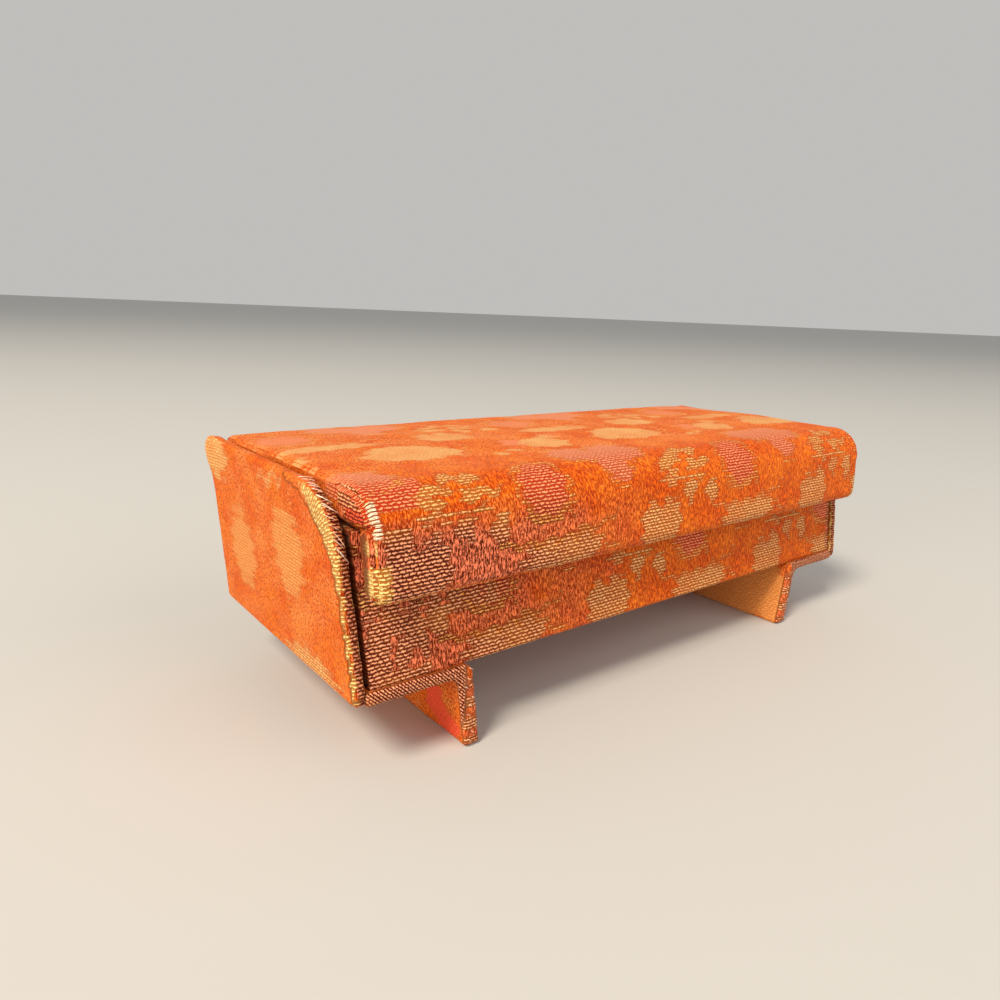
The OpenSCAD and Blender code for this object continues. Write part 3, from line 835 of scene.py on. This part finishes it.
def foot_cloth(piece, side, bend):
    """The foot's flat cloth, with slanting ribs along the flange's edge and ribs across the foot's edge."""
    at, facing = corners(piece)
    x = np.abs(at[:, 0])
    y, z = at[:, 1], at[:, 2]
    rim = np.minimum(y - BASE_FRONT / MM, BASE_BACK / MM - y)
    front = rim < 0.6
    flange = front & (x > bend - 1.0)
    face = np.stack([y + 20.0, z + x * 0.4 + 6.0], 1)
    post = np.stack([x, z], 1)
    twist = np.stack([(x + z) * 1.2, (x - z) * 0.95], 1)
    flat = np.where(front[:, None], post, face)
    flat = np.where(flange[:, None], twist, flat)
    cream = np.where(flange, 0.6, -1.0)
    cream = np.maximum(cream, np.where(front & ~flange, 0.35 * np.sin(z * 1.9) - 0.05, -1))
    outer = facing[:, 0] * side > 0
    wavy = 0.5 * np.sin(z * 1.7 + y)
    blush = union(
        ellipse(y - BASE_FRONT / MM + wavy, z, 7.4, 5.0, 2.6, 3.6),
        ellipse(y - BASE_FRONT / MM + wavy, z, 4.4, 2.0, 3.0, 2.4),
    )
    blush = np.where(outer & ~front, blush, -1)
    inner_patch = ellipse(y - BASE_FRONT / MM, z + np.sin(y * 0.8), 16.0, 6.5, 20.0, 8.0)
    lines = np.where(front | outer, -1, inner_patch)
    crimson_and_shade = np.where(flange, 1.0, np.where(front, 0.6, 0.0))
    clear = np.full(len(x), 3.0)
    write_cloth(piece, flat, crimson_and_shade, np.where(front, 0.1, 0.75), {"cream": cream, "lines": lines, "blush": blush, "clear": clear})


def hinge_strip():
    """One strip of brocade down the back, from the lid's back edge to the tray's back wall."""
    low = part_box("hinge_cloth_tray")[0].z
    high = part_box("hinge_cloth_lid")[1].z
    wide = 2 * end_x(low, PANEL_DEPTH) - 0.6 * MM
    length = (high - low) * slope(BACK_LEAN)
    piece = grid_sheet("hinge_brocade", wide, length, 0.5 * MM)
    flat = positions(piece)
    z = low + flat[:, 1] / slope(BACK_LEAN)
    y = back_y(z, -0.08 * MM)
    # The free cloth over the hinge line stands out a little
    y = y + 0.1 * MM * np.exp(-((z - HINGE_Z) / (0.7 * MM)) ** 2)
    co = np.stack([-flat[:, 0], y, z], 1)
    co[:, 1] += unevenness(co, 6 * MM, 11) * 0.02 * MM
    place(piece, co)
    at, facing = corners(piece)
    write_cloth(piece, np.stack([at[:, 0] + 30.0, at[:, 2] + 8.0], 1))
    apply_modifier(piece, "SOLIDIFY", thickness=0.3 * MM, offset=1)
    return piece, (wide, length)


def frayed_threads(name, strands, half_width):
    """Loose ends of weft: thin threads through a few points each, joined into one piece."""
    pieces = []
    for points in strands:
        deselect()
        bpy.ops.curve.primitive_nurbs_path_add(radius=1, location=(0, 0, 0))
        strand = bpy.context.active_object
        spline = strand.data.splines[0]
        spread = np.linspace(0, 1, len(spline.points))
        knots = np.linspace(0, 1, len(points))
        for point, share in zip(spline.points, spread):
            point.co = [float(np.interp(share, knots, [p[k] for p in points])) for k in range(3)] + [1]
            point.radius = 1.0 - 0.55 * float(share)
        strand.data.bevel_depth = half_width
        strand.data.bevel_resolution = 1
        strand.data.resolution_u = 3
        bpy.ops.object.convert(target="MESH")
        pieces.append(bpy.context.active_object)
    deselect()
    for piece in pieces:
        piece.select_set(True)
    bpy.context.view_layer.objects.active = pieces[0]
    bpy.ops.object.join()
    piece = bpy.context.active_object
    piece.name = piece.data.name = name
    return piece


def shoulder_frays(side):
    """Threads that stand out across the groove, where the end's cloth is gathered round the shoulder."""
    lengths = np.linalg.norm(np.diff(END_OUTLINE, axis=0), axis=1)
    run = np.concatenate([[0], np.cumsum(lengths)])
    shoulder_end = run[-1]
    strands = []
    for i in range(15):
        chance = 1.6 * noise.noise(Vector((i * 3.73 + 0.41, side * 9.1, 2.3)))
        other = 1.6 * noise.noise(Vector((i * 2.17 + 0.63, side * 5.3, 7.9)))
        place_run = shoulder_end - (0.6 + i * 0.95 + 0.8 * chance) * MM
        y, z, direction = section_point(END_OUTLINE, np.array([place_run]))
        along_edge = np.array([-direction[0][0], -direction[0][1]])
        out = np.array([direction[0][1], -direction[0][0]])
        base = np.array([y[0], z[0]])
        points = []
        for share in (0, 0.35, 0.7, 1.0):
            depth = (0.45 + 0.2 * other + share * (1.0 + 0.4 * chance)) * MM
            slip = (share + 0.2 * other * share ** 2) * (1.5 + 0.5 * other) * MM
            lift = (0.03 + (0.18 + 0.1 * other) * math.sin(share * 2.7)) * MM
            spot = base - along_edge * slip + out * lift
            points.append((side * end_x(spot[1], depth), spot[0], spot[1]))
        strands.append(points)
    return strands


def foot_frays(side):
    """Short threads along the front edge of a foot."""
    strands = []
    for i in range(9):
        chance = noise.noise(Vector((i * 2.9, side * 4.7, 8.1)))
        z = (1.2 + i * 1.45 + 0.5 * chance) * MM
        x = FOOT_OUTER + FOOT_LEAN * z - (0.35 + 1.6 * ((i * 0.37) % 1)) * MM
        y = BASE_FRONT - 0.02 * MM
        points = [
            (side * x, y + 0.2 * MM, z),
            (side * x, y - 0.14 * MM, z + 0.15 * MM),
            (side * (x - 0.35 * MM), y - (0.34 + 0.2 * chance) * MM, z - 0.1 * MM),
        ]
        strands.append(points)
    return strands


# Materials


def linear(hex_colour):
    """An sRGB hex colour as linear values."""
    def channel(i):
        value = int(hex_colour[i:i + 2], 16) / 255
        return value / 12.92 if value <= 0.04045 else ((value + 0.055) / 1.055) ** 2.4
    return (channel(1), channel(3), channel(5), 1.0)


def add_node(tree, kind, settings=None, links=None):
    """Adds a node. settings names attributes or sockets, links names sockets to join from others."""
    node = tree.nodes.new(kind)
    for key, value in (settings or {}).items():
        if isinstance(key, str) and hasattr(node, key):
            setattr(node, key, value)
        else:
            node.inputs[key].default_value = value
    for key, source in (links or {}).items():
        tree.links.new(source, node.inputs[key])
    return node


def new_material(name):
    material = bpy.data.materials.new(name)
    material.use_nodes = True
    tree = material.node_tree
    tree.nodes.clear()
    output = add_node(tree, "ShaderNodeOutputMaterial")
    surface = add_node(tree, "ShaderNodeBsdfPrincipled")
    tree.links.new(surface.outputs[0], output.inputs["Surface"])
    return material, tree, surface


def woven_brocade():
    """Silk brocade: a warp satin ground of fine upright threads, and figures of floating weft in ribs.
    The weft ribs throw small shadows between them, and the silk shines softly along the threads."""
    material, tree, surface = new_material("silk_brocade")

    def math_node(operation, a, b=None):
        settings = {"operation": operation}
        links = {}
        for i, value in enumerate([a] if b is None else [a, b]):
            (settings if isinstance(value, (int, float)) else links)[i] = value
        return add_node(tree, "ShaderNodeMath", settings, links).outputs[0]

    def mix(factor, a, b):
        node = tree.nodes.new("ShaderNodeMix")
        node.data_type = "RGBA"
        for key, value in ((0, factor), (6, a), (7, b)):
            if isinstance(value, str):
                node.inputs[key].default_value = linear(value)
            elif isinstance(value, (int, float)):
                node.inputs[key].default_value = value
            else:
                tree.links.new(value, node.inputs[key])
        return node.outputs[2]

    cloth = add_node(tree, "ShaderNodeUVMap", {"uv_map": "cloth"}).outputs[0]
    split = add_node(tree, "ShaderNodeSeparateXYZ", links={0: cloth})
    u = math_node("MULTIPLY", split.outputs[0], 1000.0)
    v = math_node("MULTIPLY", split.outputs[1], 1000.0)

    def cloth_noise(scale_u, scale_v, detail=2.0, roughness=0.5, distortion=0.0):
        """Noise on the flat cloth, its scale in waves for each millimetre along and up the cloth."""
        place_node = add_node(tree, "ShaderNodeMapping", links={"Vector": cloth})
        place_node.inputs["Scale"].default_value = (scale_u * 1000, scale_v * 1000, 1000)
        return add_node(
            tree, "ShaderNodeTexNoise",
            {"Scale": 1.0, "Detail": detail, "Roughness": roughness, "Distortion": distortion},
            {"Vector": place_node.outputs[0]},
        ).outputs[0]

    # Warp satin: fine upright threads, a little wavy, with darker gaps between them
    strokes = cloth_noise(4.5, 1.35, 2.0, 0.55, 0.8)
    warp = add_node(tree, "ShaderNodeMapRange", {1: 0.42, 2: 0.58}, {0: strokes}).outputs[0]
    patch = cloth_noise(0.16, 0.16, 3.0, 0.55)
    patch = add_node(tree, "ShaderNodeMapRange", {1: 0.38, 2: 0.64}, {0: patch}).outputs[0]
    # The crimson attribute: up to 1 it tints the cloth crimson in patches and darkens the gaps between threads; from 1
    # to 2 it is painted shade, darkening cloth that lies in a groove's shadow
    stored_crimson_and_shade = add_node(tree, "ShaderNodeAttribute", {"attribute_name": "crimson_and_shade"}).outputs["Fac"]
    gate = math_node("ADD", cloth_noise(0.09, 0.2, 2.0), math_node("MULTIPLY", stored_crimson_and_shade, 0.2))
    gate = add_node(tree, "ShaderNodeMapRange", {1: 0.38, 2: 0.62}, {0: gate}).outputs[0]
    crimson_and_shade = math_node("MULTIPLY", stored_crimson_and_shade, gate)
    shadow = add_node(tree, "ShaderNodeMapRange", {1: 1.0, 2: 2.0, 4: 0.85}, {0: stored_crimson_and_shade}).outputs[0]
    wear_and_top_sheen = add_node(tree, "ShaderNodeAttribute", {"attribute_name": "wear_and_top_sheen"}).outputs["Fac"]
    deep = mix(crimson_and_shade, mix(patch, "#9e2a02", "#b83e04"), "#440400")
    light = mix(crimson_and_shade, mix(patch, "#f2640a", "#fc841c"), "#fc8560")
    # Where the threads are rubbed flat the gaps between them show less, which over the lid's top paints the cloth
    # lighter, as the silk's sheen
    ground = mix(warp, mix(math_node("MULTIPLY", wear_and_top_sheen, 0.8), deep, light), light)
    # Where the silk is rubbed flat it shows as small dots, dark ones and in places pale ones
    dots = add_node(tree, "ShaderNodeMapRange", {1: 0.51, 2: 0.60}, {0: cloth_noise(3.2, 2.4, 1.0)}).outputs[0]
    rubbed = add_node(tree, "ShaderNodeMapRange", {1: 0.50, 2: 0.60}, {0: cloth_noise(0.26, 0.26, 3.0)}).outputs[0]
    spark = add_node(tree, "ShaderNodeMapRange", {1: 0.52, 2: 0.62}, {0: cloth_noise(3.1, 2.6, 1.0)}).outputs[0]
    spark = math_node("MULTIPLY", math_node("MULTIPLY", spark, rubbed), wear_and_top_sheen)
    mottle = add_node(tree, "ShaderNodeMapRange", {1: 0.44, 2: 0.62}, {0: cloth_noise(0.11, 0.11, 3.0, 0.6)}).outputs[0]
    ground = mix(math_node("MULTIPLY", math_node("MULTIPLY", mottle, wear_and_top_sheen), 0.6), ground, "#fba45c")
    ground = mix(math_node("MULTIPLY", spark, 0.9), ground, "#fcb468")
    ground = mix(math_node("MULTIPLY", dots, math_node("MULTIPLY", wear_and_top_sheen, 1.35)), ground, "#aa3604")

    # Weft ribs of the figures, each float bound down now and then, in steps from rib to rib
    wobble = math_node("MULTIPLY", math_node("SUBTRACT", cloth_noise(0.8, 1.3, 2.0), 0.5), 0.45)
    jitter = math_node("MULTIPLY", math_node("SUBTRACT", cloth_noise(2.4, 1.2, 1.0), 0.5), 0.26)
    rib_place = math_node("ADD", math_node("ADD", v, wobble), jitter)
    rib_place = math_node("DIVIDE", rib_place, RIB)
    rib_number = math_node("FLOOR", rib_place)
    rib_phase = math_node("SUBTRACT", rib_place, rib_number)
    ridge = math_node("SINE", math_node("MULTIPLY", rib_phase, math.pi))
    drift = math_node("MULTIPLY", cloth_noise(0.5, 0.5, 2.0), 1.6)
    step = math_node("ADD", math_node("DIVIDE", u, 1.0), math_node("MULTIPLY", rib_number, 0.37))
    step = math_node("ADD", step, drift)
    bound = math_node("SINE", math_node("MULTIPLY", math_node("FRACT", step), math.pi))
    bound = math_node("POWER", bound, 0.24)
    uneven = math_node("MULTIPLY", math_node("SUBTRACT", cloth_noise(3.6, 2.8, 2.0), 0.5), 1.1)
    thread = math_node("ADD", math_node("MULTIPLY", ridge, bound), uneven)
    thread = add_node(tree, "ShaderNodeMapRange", {1: 0.46, 2: 0.86}, {0: thread}).outputs[0]
    fold_ridge = math_node("SINE", math_node("MULTIPLY", math_node("FRACT", math_node("DIVIDE", v, RIB)), math.pi))
    fold_thread = add_node(tree, "ShaderNodeMapRange", {1: 0.40, 2: 0.70}, {0: fold_ridge}).outputs[0]
    fray = add_node(tree, "ShaderNodeTexWhiteNoise", {"noise_dimensions": "1D"}, {"W": rib_number}).outputs[0]
    ragged = math_node("MULTIPLY", math_node("SUBTRACT", fray, 0.5), 0.7)
    ragged = math_node("ADD", ragged, math_node("MULTIPLY", math_node("SUBTRACT", strokes, 0.5), 1.2))

    crisp = math_node("SUBTRACT", 1.0, math_node("MULTIPLY", wear_and_top_sheen, 0.9))

    def figure(name):
        field = add_node(tree, "ShaderNodeAttribute", {"attribute_name": name}).outputs["Fac"]
        edge = field if name == "fold" else math_node("MULTIPLY", math_node("ADD", field, ragged), crisp)
        return add_node(tree, "ShaderNodeMapRange", {1: -0.10, 2: 0.14}, {0: edge}).outputs[0]

    colours = {
        "blush": ("#c22a18", "#fb5c40"),
        "mauve": ("#b8482a", "#f49e74"),
        "rose": ("#ae2814", "#fb9a68"),
        "gold": ("#a85818", "#f8ba74"),
        "cream": ("#a8501e", mix(crimson_and_shade, mix(patch, "#f8ae68", "#fcc880"), "#fca880")),
        "lines": ("#b04c10", "#f8a85e"),
        "pale": ("#a86024", "#fcdc8e"),
        # The fold's near white is partly a painted highlight along its crest
        "fold": ("#8a3c18", "#fff0cf"),
    }
    colour = ground
    woven = None
    for name in FIGURES:
        shade, bright = colours[name]
        mask = figure(name)
        # Rubbed ribs show less dark between them; over the lid's top this is painted sheen
        shade = mix(math_node("MULTIPLY", wear_and_top_sheen, 0.75), shade, bright)
        shade = shade if name in ("pale", "fold") else mix(crimson_and_shade, shade, "#4a0c04")
        weft = fold_thread if name == "fold" else thread
        colour = mix(mask, colour, mix(weft, shade, bright))
        woven = mask if woven is None else math_node("MAXIMUM", woven, mask)
    # Painted shade: cloth in a groove's shadow is darkened towards near black maroon
    colour = mix(shadow, colour, "#4a0d05")

    surface.inputs["Roughness"].default_value = 0.6
    surface.inputs["Sheen Weight"].default_value = 0.3
    surface.inputs["Sheen Roughness"].default_value = 0.4
    surface.inputs["Sheen Tint"].default_value = linear("#ff9c58")
    surface.inputs["Specular IOR Level"].default_value = 0.3
    surface.inputs["Specular Tint"].default_value = linear("#ff9448")
    tree.links.new(colour, surface.inputs["Base Color"])
    height = math_node("MULTIPLY", warp, 0.5)
    blend_height = tree.nodes.new("ShaderNodeMix")
    tree.links.new(woven, blend_height.inputs[0])
    tree.links.new(height, blend_height.inputs[2])
    tree.links.new(thread, blend_height.inputs[3])
    bump = add_node(
        tree, "ShaderNodeBump", {"Strength": 1.0, "Distance": 0.26 * MM}, {"Height": blend_height.outputs[0]}
    )
    tree.links.new(bump.outputs[0], surface.inputs["Normal"])
    return material


def lining_silk():
    """Plain woven silk: threads 0.25 mm apart both ways, thicker slubs along the box and a soft shine."""
    material, tree, surface = new_material("plain_silk")
    spot = add_node(tree, "ShaderNodeTexCoord").outputs["Object"]

    def waves(direction, pitch):
        return add_node(
            tree, "ShaderNodeTexWave",
            {"bands_direction": direction, "Scale": 0.314 / pitch, "Distortion": 1.2,
             "Detail": 2.0, "Detail Scale": 1.5},
            {"Vector": spot},
        ).outputs["Fac"]

    stretched = add_node(tree, "ShaderNodeMapping", {"Scale": (260.0, 3200.0, 3200.0)}, {"Vector": spot})
    slubs = add_node(
        tree, "ShaderNodeTexNoise", {"Scale": 1.0, "Detail": 4.0, "Roughness": 0.6},
        {"Vector": stretched.outputs[0]},
    ).outputs[0]
    ramp = add_node(tree, "ShaderNodeValToRGB", links={0: slubs})
    ramp.color_ramp.elements[0].position = 0.30
    ramp.color_ramp.elements[0].color = linear("#d29a48")
    ramp.color_ramp.elements[1].position = 0.66
    ramp.color_ramp.elements[1].color = linear("#e6b668")
    tree.links.new(ramp.outputs[0], surface.inputs["Base Color"])
    surface.inputs["Roughness"].default_value = 0.48
    surface.inputs["Sheen Weight"].default_value = 0.2
    weave = add_node(tree, "ShaderNodeMath", {"operation": "ADD"}, {0: waves("X", 0.25 * MM), 1: slubs})
    weave = add_node(tree, "ShaderNodeMath", {"operation": "ADD"}, {0: weave.outputs[0], 1: waves("Y", 0.3 * MM)})
    bump = add_node(
        tree, "ShaderNodeBump", {"Strength": 0.35, "Distance": 0.06 * MM}, {"Height": weave.outputs[0]}
    )
    tree.links.new(bump.outputs[0], surface.inputs["Normal"])
    return material


def grey_board():
    """Pressed greyboard: matt, with flecks of fibre."""
    material, tree, surface = new_material("greyboard")
    place_node = add_node(tree, "ShaderNodeTexCoord").outputs["Object"]
    fleck = add_node(
        tree, "ShaderNodeTexNoise", {"Scale": 900.0, "Detail": 4.0}, {"Vector": place_node}
    ).outputs[0]
    ramp = add_node(tree, "ShaderNodeValToRGB", links={0: fleck})
    ramp.color_ramp.elements[0].position = 0.35
    ramp.color_ramp.elements[0].color = linear("#7c7466")
    ramp.color_ramp.elements[1].position = 0.65
    ramp.color_ramp.elements[1].color = linear("#a89f8d")
    tree.links.new(ramp.outputs[0], surface.inputs["Base Color"])
    surface.inputs["Roughness"].default_value = 0.9
    bump = add_node(tree, "ShaderNodeBump", {"Strength": 0.3, "Distance": 0.05 * MM}, {"Height": fleck})
    tree.links.new(bump.outputs[0], surface.inputs["Normal"])
    return material


def cotton_wadding():
    """Cotton wadding: white, soft and matt."""
    material, tree, surface = new_material("cotton_wadding")
    place_node = add_node(tree, "ShaderNodeTexCoord").outputs["Object"]
    fluff = add_node(
        tree, "ShaderNodeTexNoise", {"Scale": 1200.0, "Detail": 5.0}, {"Vector": place_node}
    ).outputs[0]
    ramp = add_node(tree, "ShaderNodeValToRGB", links={0: fluff})
    ramp.color_ramp.elements[0].color = linear("#ddd6c6")
    ramp.color_ramp.elements[1].color = linear("#f4f0e6")
    tree.links.new(ramp.outputs[0], surface.inputs["Base Color"])
    surface.inputs["Roughness"].default_value = 1.0
    return material


def loose_thread():
    """Undyed silk weft, pale and a little shiny, darker in places along its length."""
    material, tree, surface = new_material("loose_thread")
    spot = add_node(tree, "ShaderNodeTexCoord").outputs["Object"]
    twist = add_node(tree, "ShaderNodeTexNoise", {"Scale": 2400.0, "Detail": 2.0}, {"Vector": spot}).outputs[0]
    ramp = add_node(tree, "ShaderNodeValToRGB", links={0: twist})
    ramp.color_ramp.elements[0].position = 0.35
    ramp.color_ramp.elements[0].color = linear("#e8a878")
    ramp.color_ramp.elements[1].position = 0.55
    ramp.color_ramp.elements[1].color = linear("#fff1dc")
    tree.links.new(ramp.outputs[0], surface.inputs["Base Color"])
    surface.inputs["Roughness"].default_value = 0.5
    bump = add_node(tree, "ShaderNodeBump", {"Strength": 0.5, "Distance": 0.03 * MM}, {"Height": twist})
    tree.links.new(bump.outputs[0], surface.inputs["Normal"])
    return material


def groove_cloth_painted_dark():
    """Red brown cotton that binds the side walls' edges, seen only in the grooves beside the end boards. Its dark
    colour is partly the cloth's own, partly painted shade for the grooves' shadow.
    """
    material, tree, surface = new_material("groove_cloth_painted_dark")
    place_node = add_node(tree, "ShaderNodeTexCoord").outputs["Object"]
    weave = add_node(
        tree, "ShaderNodeTexNoise", {"Scale": 2200.0, "Detail": 2.0}, {"Vector": place_node}
    ).outputs[0]
    ramp = add_node(tree, "ShaderNodeValToRGB", links={0: weave})
    ramp.color_ramp.elements[0].position = 0.35
    ramp.color_ramp.elements[0].color = linear("#4a1408")
    ramp.color_ramp.elements[1].position = 0.7
    ramp.color_ramp.elements[1].color = linear("#9a4418")
    tree.links.new(ramp.outputs[0], surface.inputs["Base Color"])
    surface.inputs["Roughness"].default_value = 0.85
    bump = add_node(tree, "ShaderNodeBump", {"Strength": 0.4, "Distance": 0.06 * MM}, {"Height": weave})
    tree.links.new(bump.outputs[0], surface.inputs["Normal"])
    return material


BROCADE = woven_brocade()
SILK = lining_silk()
BOARD = grey_board()
THREAD = loose_thread()
WADDING = cotton_wadding()

NODE_MATERIALS = {"greyboard": BOARD, "lining_silk": SILK, "cotton_wadding": WADDING, "brocade": BROCADE}
for row in frame["record"]["subparts"]:
    mesh = frame["nodes"][row["node"]].data
    mesh.materials.clear()
    mesh.materials.append(NODE_MATERIALS[row["material_slot"]])
# The side walls' edges get a dark red brown cloth, darkened partly as painted shade for the grooves beside the end
# boards
for name in ("tray_left_wall", "tray_right_wall"):
    frame["nodes"][name].data.materials[0] = groove_cloth_painted_dark()


def dress(piece, material):
    piece.data.materials.clear()
    piece.data.materials.append(material)
    activate(piece)
    bpy.ops.object.shade_smooth_by_angle(angle=math.radians(50))


# The camera at the photograph's viewing angle, in the model's frame
CAMERA_PLACE = (-99.91, -100.36, 62.06)
CAMERA_YAW = 38.80
CAMERA_PITCH = 14.10
CAMERA_ROLL = 2.39
FOCAL_PIXELS = 742.0
PHOTO_PIXELS = 1000.0


def photo_camera():
    yaw, pitch, roll = (math.radians(a) for a in (CAMERA_YAW, CAMERA_PITCH, CAMERA_ROLL))
    forward = Vector((math.sin(yaw) * math.cos(pitch), math.cos(yaw) * math.cos(pitch), -math.sin(pitch)))
    level = Vector((math.cos(yaw), -math.sin(yaw), 0))
    over = level.cross(forward)
    right = level * math.cos(roll) + over * math.sin(roll)
    up = over * math.cos(roll) - level * math.sin(roll)
    turn = Matrix((right, up, -forward)).transposed()
    bpy.ops.object.camera_add()
    camera = bpy.context.active_object
    camera.matrix_world = Matrix.Translation(Vector(CAMERA_PLACE) * MM) @ turn.to_4x4()
    camera.data.sensor_width = 36
    camera.data.lens = FOCAL_PIXELS / PHOTO_PIXELS * 36
    camera.data.clip_start = 0.005
    camera.data.clip_end = 100
    bpy.context.scene.camera = camera


def area_light(name, place_at, target, size, power, colour):
    bpy.ops.object.light_add(type="AREA", location=place_at)
    lamp = bpy.context.active_object
    lamp.name = name
    lamp.data.shape = "DISK"
    lamp.data.size = size
    lamp.data.energy = power
    lamp.data.color = linear(colour)[:3]
    lamp.rotation_euler = (Vector(target) - Vector(place_at)).to_track_quat("-Z", "Y").to_euler()


def studio():
    """A plain pale floor, a large soft window light from the left and above, a low one and a weak fill."""
    deselect()
    bpy.ops.mesh.primitive_plane_add(size=60, location=(0, 0, 0))
    floor = bpy.context.active_object
    floor.name = "floor"
    material, tree, surface = new_material("pale_floor")
    surface.inputs["Base Color"].default_value = linear("#bdbdba")
    surface.inputs["Roughness"].default_value = 0.85
    floor.data.materials.append(material)
    area_light("window", (-1.12, -0.44, 1.36), (0, 0, 0.02), 0.48, 35, "#fff1de")
    area_light("low window", (-1.45, -0.30, 0.32), (0, 0, 0.02), 0.5, 7, "#ffe9cc")
    area_light("fill", (0.70, -1.50, 0.80), (0, 0, 0.02), 1.6, 12.5, "#fff8f0")
    world = bpy.data.worlds.new("studio")
    bpy.context.scene.world = world
    world.use_nodes = True
    background = world.node_tree.nodes["Background"]
    background.inputs[0].default_value = linear("#f1efec")
    background.inputs[1].default_value = 0.6
    bpy.context.scene.view_settings.view_transform = "Standard"


photo_camera()
studio()

lid = lid_pad()
dress(lid, BROCADE)
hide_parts("lid_cover", "lid_wadding")
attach(lid, "lid")

tray, tray_cut = tray_wrap()
dress(tray, BROCADE)
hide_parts("tray_cover")
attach(tray, "box")

for side, hand in ((-1, "left"), (1, "right")):
    cover = end_cover("end_brocade_" + hand, side)
    dress(cover, BROCADE)
    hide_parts("end_cover_" + hand)
    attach(cover, "box")
    foot = foot_cover("foot_brocade_" + hand, side)
    dress(foot, BROCADE)
    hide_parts("foot_cover_" + hand)
    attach(foot, "box")
    strands = shoulder_frays(side) + foot_frays(side)
    frays = frayed_threads("frayed_threads_" + hand, strands, 0.042 * MM)
    dress(frays, THREAD)
    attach(frays, "box")

hinge, hinge_cut = hinge_strip()
dress(hinge, BROCADE)
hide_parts("hinge_cloth_tray", "hinge_cloth_lid")
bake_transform(hinge)
